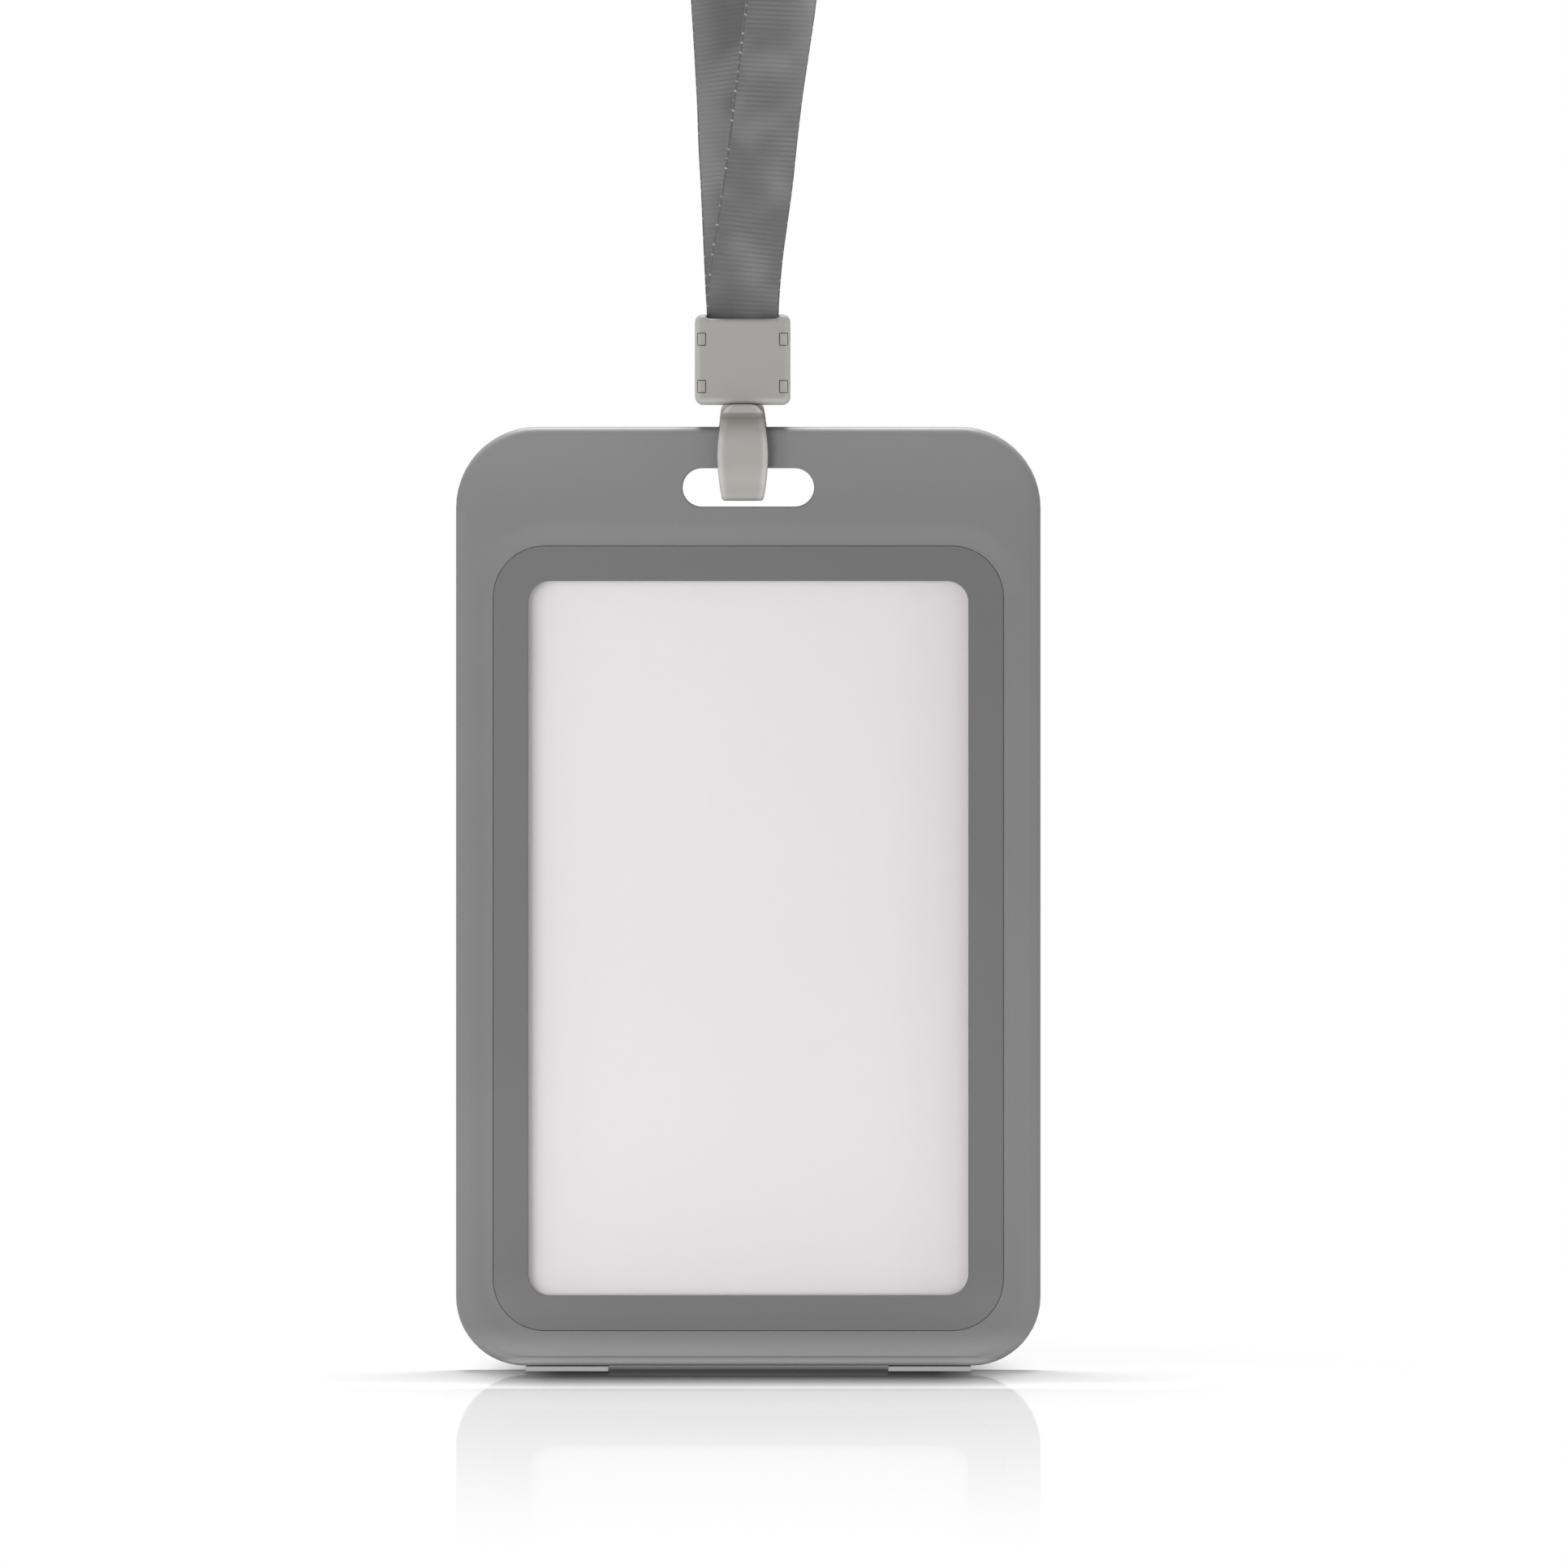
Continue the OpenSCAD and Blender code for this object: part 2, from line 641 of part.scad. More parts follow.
lanyard();
clasp_front();
clasp_back();
hook();
hook_tongue();
front_cover();
window_bezel();
window_pane();
card_insert();
back_tray();
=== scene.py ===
"""Looks of a badge holder that hangs from a ribbon lanyard by a snap clasp and a swivel hook."""

import json
import math

import bmesh
import bpy
import numpy as np
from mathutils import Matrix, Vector

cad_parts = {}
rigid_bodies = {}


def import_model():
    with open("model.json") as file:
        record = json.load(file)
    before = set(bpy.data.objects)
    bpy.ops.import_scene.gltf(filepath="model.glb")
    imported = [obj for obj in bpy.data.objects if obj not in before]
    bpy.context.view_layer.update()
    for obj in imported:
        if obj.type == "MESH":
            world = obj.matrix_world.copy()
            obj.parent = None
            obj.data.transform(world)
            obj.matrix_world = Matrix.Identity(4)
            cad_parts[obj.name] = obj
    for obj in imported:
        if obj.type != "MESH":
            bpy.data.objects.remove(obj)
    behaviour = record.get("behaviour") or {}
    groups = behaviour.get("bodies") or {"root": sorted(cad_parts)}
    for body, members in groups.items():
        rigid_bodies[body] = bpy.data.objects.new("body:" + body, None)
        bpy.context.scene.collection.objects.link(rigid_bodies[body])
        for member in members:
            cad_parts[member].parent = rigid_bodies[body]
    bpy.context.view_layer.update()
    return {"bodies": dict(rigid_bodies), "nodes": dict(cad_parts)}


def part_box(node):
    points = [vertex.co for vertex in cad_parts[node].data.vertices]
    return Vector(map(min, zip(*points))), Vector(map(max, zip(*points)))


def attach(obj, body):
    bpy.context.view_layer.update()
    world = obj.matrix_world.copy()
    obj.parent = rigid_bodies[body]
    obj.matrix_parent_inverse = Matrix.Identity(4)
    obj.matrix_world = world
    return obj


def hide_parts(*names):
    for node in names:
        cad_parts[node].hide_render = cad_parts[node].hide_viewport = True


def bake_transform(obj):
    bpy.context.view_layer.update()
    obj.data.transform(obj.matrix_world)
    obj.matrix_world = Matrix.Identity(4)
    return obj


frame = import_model()
MM = 0.001

# Camera. It looks level and straight at the window from far away, as the photograph does.
# The picture is 1932 pixels wide and shows 10.6 pixels per millimetre at the holder's front.
PICTURE_SIZE = 1932
PIXELS_PER_MM = 10.6
HOLDER_MIDDLE_PX = 922
FEET_PX = 1690
SENSOR = 36
CAMERA_DISTANCE = 1500 * MM
SEEN_FROM, SEEN_TO = 0.05, 20

front_low, front_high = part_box("front_cover")
floor_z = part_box("back_tray")[0].z
picture_width = PICTURE_SIZE / PIXELS_PER_MM * MM
camera_x = (PICTURE_SIZE / 2 - HOLDER_MIDDLE_PX) / PIXELS_PER_MM * MM
camera_z = floor_z + (FEET_PX - PICTURE_SIZE / 2) / PIXELS_PER_MM * MM

lens_data = bpy.data.cameras.new("camera")
lens_data.sensor_width = SENSOR
lens_data.lens = SENSOR * CAMERA_DISTANCE / picture_width
lens_data.clip_start, lens_data.clip_end = SEEN_FROM, SEEN_TO
camera = bpy.data.objects.new("camera", lens_data)
camera.location = (camera_x, front_low.y - CAMERA_DISTANCE, camera_z)
camera.rotation_euler = (math.radians(90), 0, 0)
bpy.context.collection.objects.link(camera)
bpy.context.scene.camera = camera
bpy.context.scene.view_settings.view_transform = "Standard"


# Ribbon. A ribbed satin polyester ribbon, 8.4 mm wide, whose two ends are clamped one on the
# other in the clasp. It goes up in two strands and closes in its loop just outside the view.
RIBBON_WIDTH = 8.4 * MM
RIBBON_THICK = 0.7 * MM
RIB_PITCH = 0.58 * MM
RIB_HEIGHT = 0.06 * MM
EDGE_THREAD = 0.12 * MM
GLINT_PITCH = 1.16 * MM
RIBBON_RINGS = 420
# Ground from dark to grey; a painted sheen and a paler painted shine; painted shade and glints at the
# selvedges
RIBBON_DARK = (0.112, 0.112, 0.114, 1)
RIBBON_GREY = (0.15, 0.15, 0.152, 1)
RIBBON_SHEEN = (0.215, 0.215, 0.217, 1)
RIBBON_PALE = (0.25, 0.25, 0.252, 1)
SELVEDGE_SHADE = (0.085, 0.085, 0.086, 1)
GLINT_PALE = (0.42, 0.42, 0.42, 1)
# The section, in shares of half its width and half its thickness: round selvedges, flat web
SELVEDGE, SELVEDGE_THICK = 0.035, 0.8
WEB, WEB_THICK = 0.93, 0.72
# Millimetres of ribbon for each unit of its UV map
UV_SPAN = 100
# Noise scales per millimetre, that of the fuzz per metre, the levels between which an effect
# sets in, and the range of what it does
STREAK_SCALE, STREAK_STRETCH = 0.5, (0.35, 3.4, 1)
PULL_SCALE, PULL_LEVELS, PULL_RANGE = 0.11, (0.4, 0.62), (0.35, 1.1)
SHEEN_SCALE, SHEEN_LEVELS, SHEEN_RANGE = 0.13, (0.42, 0.68), (0.5, 0.9)
GLINT_SPOT_SCALE, GLINT_SPOT_LEVELS, GLINT_LEVELS = 0.7, (0.42, 0.54), (0.8, 0.97)
FUZZ_SCALE, FUZZ_SHARE, GROUND_LEVELS = 2600, 0.35, (0.1, 0.85)
SATIN_ROUGH, RELIEF_RANGE = (0.4, 0.54), (0.4, 1)
# Places along the ribbon in millimetres: where a painted shine on its front strand starts, where
# it turns over in the loop, and a painted glow on its rear strand, and how strong each is
CLIMB, LOOP_TURN = (15, 50), 20
OUTER_SHINE, OUTER_REACH, OUTER_RANGE = 0.8, 1.1, (0.6, 1)
GLOW_AT, GLOW_REACH, GLOW_SHINE = 167, 9, 0.45
# Sideways, depth, height in millimetres, and degrees that the ribbon is turned about its run
RIBBON_ROUTE = [
    [-0.65, -0.4, -83.3, 0], [-0.65, -0.4, -77, 0], [-0.5, -0.8, -74, 4], [-0.1, -1.5, -70, 8],
    [0.5, -2.4, -66, 12], [1.1, -3.4, -62, 15], [1.7, -4.6, -57, 18], [2.3, -6, -52, 18],
    [3, -7.6, -47, 16], [3.7, -9.4, -42, 14], [4.2, -11.3, -37, 12], [4.4, -13.3, -32, 10],
    [4.4, -15.3, -27, 8], [4.2, -16.8, -22, 6], [3.8, -17.4, -17, 5], [3.2, -16.6, -12, 4],
    [2.5, -14, -7.2, 3], [1.7, -9.8, -3.2, 2], [0.9, -5, -0.8, 1], [0, 0, 0, 0],
    [-0.9, 5, -0.8, 1], [-1.7, 9.8, -3.2, 2], [-2.4, 14, -7.2, 3], [-2.9, 16.6, -12, 4],
    [-3.2, 17.4, -17, 5], [-3.3, 16.8, -22, 6], [-3.2, 15.3, -27, 8], [-3, 13.3, -32, 10],
    [-2.8, 11.3, -37, 12], [-2.5, 9.4, -42, 14], [-2.2, 7.6, -47, 14], [-1.9, 6, -52, 12],
    [-1.7, 4.6, -57, 10], [-1.4, 3.4, -62, 8], [-1.2, 2.4, -66, 6], [-1, 1.5, -70, 4],
    [-0.8, 0.8, -74, 2], [-0.65, 0.4, -77, 0], [-0.65, 0.4, -83.3, 0],
]


class Shade:
    """A value in a material. Sums, products and powers of values add Math nodes."""

    def __init__(self, finish, socket):
        self.finish, self.socket = finish, socket

    def maths(self, operation, *values):
        return self.finish.node("ShaderNodeMath", {"operation": operation}, dict(enumerate(values)))

    def __add__(self, other):
        return self.maths("ADD", self, other)

    def __sub__(self, other):
        return self.maths("SUBTRACT", self, other)

    def __rsub__(self, other):
        return self.maths("SUBTRACT", other, self)

    def __mul__(self, other):
        return self.maths("MULTIPLY", self, other)

    def __pow__(self, other):
        return self.maths("POWER", self, other)

    def __neg__(self):
        return self * -1

    __radd__ = __add__
    __rmul__ = __mul__

    def sine(self):
        return self.maths("SINE", self)

    def size(self):
        return self.maths("ABSOLUTE", self)

    def step(self, start, end):
        """0 below start, 1 above end, and a smooth rise between them."""
        return self.finish.node(
            "ShaderNodeMapRange", {"interpolation_type": "SMOOTHSTEP"},
            {"Value": self, "From Min": start, "From Max": end}, "Result")

    def between(self, low, high):
        """The colour or number that this share of the way leads from low to high."""
        if isinstance(low, (tuple, Shade)):
            return self.finish.node("ShaderNodeMix", {"data_type": "RGBA"}, {0: self, 6: low, 7: high}, 2)
        return self * (high - low) + low


class Finish:
    """A material under construction: node() adds a node, and done() ends it in a surface."""

    def __init__(self, name, tree=None):
        if tree is None:
            self.material = bpy.data.materials.new(name)
            self.material.use_nodes = True
            tree = self.material.node_tree
        self.tree = tree
        self.tree.nodes.clear()

    def node(self, kind, settings=None, sockets=None, out=0):
        """Adds a node: its type, its settings, which are set first, and its sockets' values or links."""
        node = self.tree.nodes.new(kind)
        for name, value in (settings or {}).items():
            setattr(node, name, value)
        for name, value in (sockets or {}).items():
            if isinstance(value, Shade):
                self.tree.links.new(value.socket, node.inputs[name])
            else:
                node.inputs[name].default_value = value
        return Shade(self, node.outputs[out])

    def place(self):
        """The place on the piece, in metres."""
        return self.node("ShaderNodeTexCoord", out="Object")

    def noise(self, place, scale, detail=2):
        sockets = {"Vector": place, "Scale": scale, "Detail": detail}
        return self.node("ShaderNodeTexNoise", sockets=sockets, out="Fac")

    def parts(self, place):
        """The three coordinates of a place."""
        node = self.node("ShaderNodeSeparateXYZ", sockets={0: place}).socket.node
        return [Shade(self, s) for s in node.outputs]

    def height(self):
        """The height of the place on the piece, in metres."""
        return self.parts(self.place())[2]

    def bump(self, height, depth):
        """Normals of a relief whose height, from 0 to 1, stands for a depth in metres."""
        sockets = {"Height": height, "Distance": depth, "Strength": 1.0}
        return self.node("ShaderNodeBump", sockets=sockets, out="Normal")

    def plastic(self, **sockets):
        named = {name.replace("_", " "): value for name, value in sockets.items()}
        return self.node("ShaderNodeBsdfPrincipled", sockets=named)

    def mixed(self, share, first, second):
        """The surface that this share of the way leads from the first to the second."""
        return self.node("ShaderNodeMixShader", sockets={0: share, 1: first, 2: second})

    def done(self, surface, kind="ShaderNodeOutputMaterial"):
        output = self.tree.nodes.new(kind)
        self.tree.links.new(surface.socket, output.inputs["Surface"])
        return getattr(self, "material", None)


def unit(vectors):
    """Vectors divided by their own lengths."""
    return vectors / np.linalg.norm(vectors, axis=-1, keepdims=True)


def smooth_route(points, count, steps_each=24):
    """Evenly spaced places on one smooth curve through the points: between two of them the curve
    is the cubic whose slopes at both ends are half the way from the point before to the next."""
    p = np.array(points, float)
    slope = np.gradient(p, axis=0)
    steps = np.linspace(0, 1, steps_each, endpoint=False)[None, :, None]
    a, b, m, n = p[:-1, None], p[1:, None], slope[:-1, None], slope[1:, None]
    t2, t3 = steps ** 2, steps ** 3
    curve = (2 * t3 - 3 * t2 + 1) * a + (t3 - 2 * t2 + steps) * m + (3 * t2 - 2 * t3) * b + (t3 - t2) * n
    curve = np.concatenate([curve.reshape(-1, p.shape[1]), p[-1:]])
    along = np.concatenate([[0], np.cumsum(np.linalg.norm(np.diff(curve[:, :3], axis=0), axis=1))])
    even = np.linspace(0, along[-1], count)
    return np.stack([np.interp(even, along, c) for c in curve.T], 1), even


def closed_skin(name, grid, looped=False):
    """A closed mesh on a grid of rings, each ring joined to the next. The first and the last ring
    are joined to each other if looped, and filled with flat caps if not."""
    rows, columns = grid.shape[:2]
    index = np.arange(rows * columns).reshape(rows, columns)
    here, there = (index, np.roll(index, -1, 0)) if looped else (index[:-1], index[1:])
    quads = np.stack([here, np.roll(here, -1, 1), np.roll(there, -1, 1), there], -1).reshape(-1, 4)
    caps = [] if looped else [index[0][::-1].tolist(), index[-1].tolist()]
    mesh = bpy.data.meshes.new(name)
    mesh.from_pydata(grid.reshape(-1, 3).tolist(), [], quads.tolist() + caps)
    shell = bmesh.new()
    shell.from_mesh(mesh)
    bmesh.ops.recalc_face_normals(shell, faces=shell.faces)
    shell.to_mesh(mesh)
    shell.free()
    piece = bpy.data.objects.new(name, mesh)
    bpy.context.collection.objects.link(piece)
    return piece


def soften(piece, angle=32, weighted=True):
    """Shades a piece smooth, apart from the edges that turn by more than an angle."""
    piece.data.shade_smooth()
    piece.data.set_sharp_from_angle(angle=math.radians(angle))
    if weighted:
        shading = piece.modifiers.new("shading", "WEIGHTED_NORMAL")
        shading.keep_sharp = True


def ribbon_section(edge_points=7, flat_points=13):
    """Closed section of the ribbon: across from -1 to 1, and through from -1 to 1, flat on both
    faces, thickened a little at the selvedges and rounded at its two edges."""
    a = np.linspace(0, math.pi, edge_points)
    edge = np.stack([np.sin(a), np.cos(a)], 1)
    right = [1 - SELVEDGE, 0] + edge * [SELVEDGE, SELVEDGE_THICK]
    flat = np.linspace(WEB, -WEB, flat_points)
    low = np.stack([flat, np.full_like(flat, -WEB_THICK)], 1)
    return np.concatenate([right, low, -right, -low])


def ribbon_surface(route, section):
    """The section carried along the route. At each place the run is the route's direction, level
    is the X axis made square to it, and the ribbon's width lies at a turn from level."""
    middle, turn = route[:, :3], np.radians(route[:, 3])[:, None]
    run = unit(np.gradient(middle, axis=0))
    level = unit(np.array([1.0, 0, 0]) - run * run[:, :1])
    across = level * np.cos(turn) + np.cross(run, level) * np.sin(turn)
    through = np.cross(run, across)
    u = section[None, :, :1] * RIBBON_WIDTH / 2
    v = section[None, :, 1:] * RIBBON_THICK / 2
    return middle[:, None] + across[:, None] * u + through[:, None] * v


route, along = smooth_route(RIBBON_ROUTE, RIBBON_RINGS)
route[:, :3] *= MM
along *= MM
section = ribbon_section()
ribbon = closed_skin("ribbon", ribbon_surface(route, section))
corner = np.zeros(len(ribbon.data.loops), int)
ribbon.data.loops.foreach_get("vertex_index", corner)
lay = np.stack([section[corner % len(section), 0] * RIBBON_WIDTH / 2, along[corner // len(section)]], 1)
ribbon.data.uv_layers.new(name="weave").data.foreach_set("uv", (lay / MM / UV_SPAN).ravel())
soften(ribbon, weighted=False)

satin = Finish("ribbed_satin")
side, length, _ = satin.parts(satin.node("ShaderNodeUVMap", {"uv_map": "weave"}))
side, length = side * UV_SPAN, length * UV_SPAN
weave = satin.node("ShaderNodeCombineXYZ", sockets={0: side, 1: length})
stretched = satin.node("ShaderNodeVectorMath", {"operation": "MULTIPLY"}, {0: weave, 1: STREAK_STRETCH})
rib = (length * (2 * math.pi / (RIB_PITCH / MM))).sine() * 0.5 + 0.5
streak = satin.noise(stretched, STREAK_SCALE)
pulled = satin.noise(weave, PULL_SCALE, 1).step(*PULL_LEVELS).between(*PULL_RANGE)
sheen = satin.noise(weave, SHEEN_SCALE, 1).step(*SHEEN_LEVELS)
fuzz = satin.noise(satin.place(), FUZZ_SCALE, 3)
ridge = rib * pulled
half = RIBBON_WIDTH / 2 / MM
# Painted shade in a thin band along both selvedges
edge = side.size().step(half - 2 * EDGE_THREAD / MM, half - EDGE_THREAD / MM)
# Painted glints: pale dots here and there along the selvedges
glint_spots = satin.noise(weave, GLINT_SPOT_SCALE, 1).step(*GLINT_SPOT_LEVELS)
glint = (length * (2 * math.pi / (GLINT_PITCH / MM))).sine().step(*GLINT_LEVELS) * edge * glint_spots
# Darker in the grooves between the ribs, partly painted shade, with random tone from streaks and fuzz
ground = (ridge * streak + fuzz * FUZZ_SHARE).step(*GROUND_LEVELS).between(RIBBON_DARK, RIBBON_GREY)
# Painted sheen: soft pale patches, strongest on the ribs' crests
lit = (sheen * ridge.between(*SHEEN_RANGE)).between(ground, RIBBON_SHEEN)
# Painted shine towards the outer selvedge of each strand, and a painted glow on the rear strand
loop_top = float(along[-1]) / MM / 2
strand = length.step(loop_top - LOOP_TURN, loop_top + LOOP_TURN).between(1, -1)
glow = 1 - (length - GLOW_AT).size().step(0, GLOW_REACH)
outer = (side * strand).step(0, OUTER_REACH * half) * length.step(*CLIMB) * OUTER_SHINE
outer = (outer + glow * GLOW_SHINE) * ridge.between(*OUTER_RANGE)
ribbon.data.materials.append(satin.done(satin.plastic(
    Base_Color=glint.between(edge.between(outer.between(lit, RIBBON_PALE), SELVEDGE_SHADE), GLINT_PALE),
    Roughness=fuzz.between(*SATIN_ROUGH),
    Normal=satin.bump(ridge * streak.between(*RELIEF_RANGE), RIB_HEIGHT),
)))
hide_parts("lanyard")
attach(ribbon, "clasp")


# Clasp. Two shells of hard pale grey plastic, moulded with a satin surface and snapped together
# over the ribbon's ends and the hook's neck. Four latches of the back shell show in front.
CLASP_CORNER = 0.9 * MM
CLASP_ROUND, CLASP_INSET = 0.75 * MM, 0.735 * MM
CLASP_BEVEL = 0.08 * MM
LATCH_WIDTH, LATCH_HEIGHT = 0.9 * MM, 1.4 * MM
LATCH_SIDE = 4.75 * MM
LATCH_HEIGHTS = (1.3 * MM, 6.8 * MM)
LATCH_SINK = 0.1 * MM
LATCH_GAP, LATCH_MOUTH = 0.06 * MM, 0.084 * MM
MOUTH_HALF, MOUTH_DEPTH, MOUTH_HIGH = 4.3 * MM, 1.15 * MM, 7.1 * MM
NOTCH_DEEP, NOTCH_EDGE, NOTCH_OVER = 0.5 * MM, 0.5 * MM, 1.5 * MM
BORE_RADIUS, CHAMBER_RADIUS = 1.65 * MM, 2.75 * MM
CHAMBER_LOW, CHAMBER_HIGH = 1.2 * MM, 2.6 * MM
CLASP_GREY = (0.325, 0.32, 0.303, 1)
CLASP_PALE = (0.35, 0.338, 0.32, 1)
# Painted highlight on the shells' rounded edges, fading in from the outline
CLASP_EDGE_LIT = (0.44, 0.425, 0.405, 1)
CLASP_LIT_FROM, CLASP_LIT_TO = 0.825 * MM, 0.225 * MM
CLOUD_SHARE, TONE_LEVELS, GLOSS_DRIFT = 0.75, (0.3, 0.7), 0.04
# How far a cutter reaches past the face that it opens
OVER = 0.4 * MM
# Points on a corner and on a side of an outline, and fewer of them for small cuts
ARC, RUN = 9, 6
COARSE = {"arc": 4, "run": 2}
# Rings on the rounded edge of a hole or a sheet, and on that of a clasp shell
ROUND_RINGS, SHELL_RINGS = 5, 8


def outline(half_wide, low, high, low_radius, high_radius, grow=0.0, middle=0.0, arc=ARC, run=RUN):
    """Points (x, z) round an upright rectangle with round corners, grown outwards by a margin:
    corner centre + radius * (cos a, sin a) on each corner, and even steps between the corners."""
    below, above = low_radius + grow, high_radius + grow
    right, top, foot = half_wide + grow, high + grow, low - grow
    corner = np.array([
        [right - above, top - above, above], [above - right, top - above, above],
        [below - right, foot + below, below], [right - below, foot + below, below]])
    a = np.linspace(0, math.pi / 2, arc)[None, :] + np.arange(4)[:, None] * math.pi / 2
    arcs = corner[:, None, :2] + corner[:, None, 2:] * np.stack([np.cos(a), np.sin(a)], -1)
    t = np.linspace(0, 1, run + 2)[1:-1, None]
    runs = arcs[:, -1:] * (1 - t) + np.roll(arcs, -1, 0)[:, :1] * t
    return np.concatenate([arcs, runs], 1).reshape(-1, 2) + [middle, 0]


def stacked(rings):
    """Grid of rings, each an outline (x, z) at a depth y, or with its own depth at each point."""
    return np.array([np.stack([r[:, 0], np.broadcast_to(y, len(r)), r[:, 1]], 1) for r, y in rings])


def plug(name, near, far, *shape, edge_near=0.0, edge_far=0.0, **more):
    """A cutter through a wall between two depths. Where it has an edge, it flares by a quarter
    circle, edge * (1 - sin a) wider at edge * (1 - cos a) into the wall, which rounds the hole."""
    def flare(edge, face, inwards):
        if not edge:
            return [(outline(*shape, **more), face)]
        mouth = (outline(*shape, grow=edge, **more), face - inwards * OVER)
        return [mouth] + [(outline(*shape, grow=edge * (1 - math.sin(a)), **more),
                           face + inwards * edge * (1 - math.cos(a)))
                          for a in np.linspace(0, math.pi / 2, ROUND_RINGS)]
    return closed_skin(name, stacked(flare(edge_near, near, 1) + flare(edge_far, far, -1)[::-1]))


def block(name, low, high):
    """A square cutter between two corners."""
    x, z = np.array([low[0], high[0], high[0], low[0]]), np.array([low[2], low[2], high[2], high[2]])
    ring = np.stack([x, z], 1)
    return closed_skin(name, stacked([(ring, low[1]), (ring, high[1])]))


def turned(name, radii, heights, centre, sides=48):
    """A round solid about an upright axis: (radius * cos a, radius * sin a) at each height."""
    a = np.linspace(0, 2 * math.pi, sides, endpoint=False)
    ring = np.stack([np.cos(a), np.sin(a), np.zeros(sides)], 1)
    r, z = np.array(radii)[:, None, None], np.array(heights)[:, None, None]
    return closed_skin(name, ring * r * [1, 1, 0] + [0, 0, 1] * z + [centre, 0, 0])


def settle(piece):
    """Applies a piece's modifiers to its mesh."""
    graph = bpy.context.evaluated_depsgraph_get()
    made = bpy.data.meshes.new_from_object(piece.evaluated_get(graph))
    piece.modifiers.clear()
    piece.data = made


def carve(piece, *cutters, operation="DIFFERENCE"):
    """Takes each closed cutter out of the piece, or joins it on, and removes the cutter."""
    for cutter in cutters:
        cut = piece.modifiers.new("cut", "BOOLEAN")
        cut.operation, cut.solver, cut.object = operation, "EXACT", cutter
    settle(piece)
    for cutter in cutters:
        bpy.data.objects.remove(cutter)


clasp_low, clasp_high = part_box("clasp_front")
clasp_x = (clasp_low.x + clasp_high.x) / 2
clasp_half = (clasp_high.x - clasp_low.x) / 2
clasp_face = clasp_low.y
clasp_shape = (clasp_half, clasp_low.z, clasp_high.z, CLASP_CORNER, CLASP_CORNER)


def clasp_shell(name, way):
    """One shell's outer block: outlines drawn in by inset * (1 - sin a) at a depth of
    round * (1 - cos a) from its face, and by a small bevel at the joint between the shells."""
    rings = [(outline(*clasp_shape, grow=-CLASP_INSET * (1 - math.sin(a)), middle=clasp_x),
              way * (clasp_face + CLASP_ROUND * (1 - math.cos(a))))
             for a in np.linspace(0, math.pi / 2, SHELL_RINGS)]
    rings.append((outline(*clasp_shape, middle=clasp_x), way * -CLASP_BEVEL))
    rings.append((outline(*clasp_shape, grow=-CLASP_BEVEL, middle=clasp_x), 0.0))
    return closed_skin(name, stacked(rings))


def clasp_room():
    """Cutters for the ribbon's mouth, the neck's bore and the chamber of its flange."""
    mouth = block("mouth", (clasp_x - MOUTH_HALF, -MOUTH_DEPTH, clasp_high.z - MOUTH_HIGH),
                  (clasp_x + MOUTH_HALF, MOUTH_DEPTH, clasp_high.z + OVER))
    low, high = clasp_low.z + CHAMBER_LOW, clasp_low.z + CHAMBER_HIGH
    bore = turned("bore", [BORE_RADIUS] * 2, [clasp_low.z - OVER, low + OVER], clasp_x)
    chamber = turned("chamber", [CHAMBER_RADIUS] * 2, [low, high], clasp_x)
    return mouth, bore, chamber


def at_latches(make):
    """One cutter or latch for each of the four places, made from its middle and its foot."""
    return [make(clasp_x + side * LATCH_SIDE, clasp_low.z + rise)
            for side in (-1, 1) for rise in LATCH_HEIGHTS]


def latch_outline(x, z, grow):
    """Outline of one latch, or of its window with a margin."""
    return outline(LATCH_WIDTH / 2, z, z + LATCH_HEIGHT, LATCH_GAP, LATCH_GAP,
                   grow=grow, middle=x, **COARSE)


def latch_window(x, z):
    """Cutter for a latch's window, whose front edge is broken by a fine bevel."""
    return closed_skin("window", stacked([
        (latch_outline(x, z, LATCH_MOUTH), clasp_face - OVER),
        (latch_outline(x, z, LATCH_MOUTH), clasp_face),
        (latch_outline(x, z, LATCH_GAP), clasp_face + LATCH_GAP / 2),
        (latch_outline(x, z, LATCH_GAP), OVER)]))


def latch(x, z):
    """One latch, with its front edges broken, that stands on the back shell."""
    face = clasp_face + LATCH_SINK
    return closed_skin("latch", stacked([
        (latch_outline(x, z, -LATCH_GAP), face),
        (latch_outline(x, z, 0), face + LATCH_GAP),
        (latch_outline(x, z, 0), LATCH_GAP)]))


clasp_front = clasp_shell("clasp_front_shell", 1)
carve(
    clasp_front, *clasp_room(), *at_latches(latch_window),
    plug("notch", clasp_face, OVER, MOUTH_HALF, clasp_high.z - NOTCH_DEEP, clasp_high.z + NOTCH_OVER,
         NOTCH_EDGE, NOTCH_EDGE, middle=clasp_x, edge_near=NOTCH_EDGE),
)
clasp_back = clasp_shell("clasp_back_shell", -1)
carve(clasp_back, *clasp_room())
carve(clasp_back, *at_latches(latch), operation="UNION")


def moulded(name, dark, pale, rough, grain, depth, cloud=55):
    """Moulded plastic: a fine spark-eroded grain, soft clouds of tone from the flow of the melt,
    and a slightly uneven gloss."""
    finish = Finish(name)
    place = finish.place()
    clouds, grains = finish.noise(place, cloud), finish.noise(place, grain)
    tone = clouds * CLOUD_SHARE + grains * (1 - CLOUD_SHARE)
    finish.colour = tone.step(*TONE_LEVELS).between(dark, pale)
    finish.rough = clouds.between(rough - GLOSS_DRIFT, rough + GLOSS_DRIFT)
    finish.relief = finish.bump(grains, depth)
    return finish


def surfaced(finish, colour):
    """The material of a moulded finish in a colour."""
    return finish.done(finish.plastic(Base_Color=colour, Roughness=finish.rough, Normal=finish.relief))


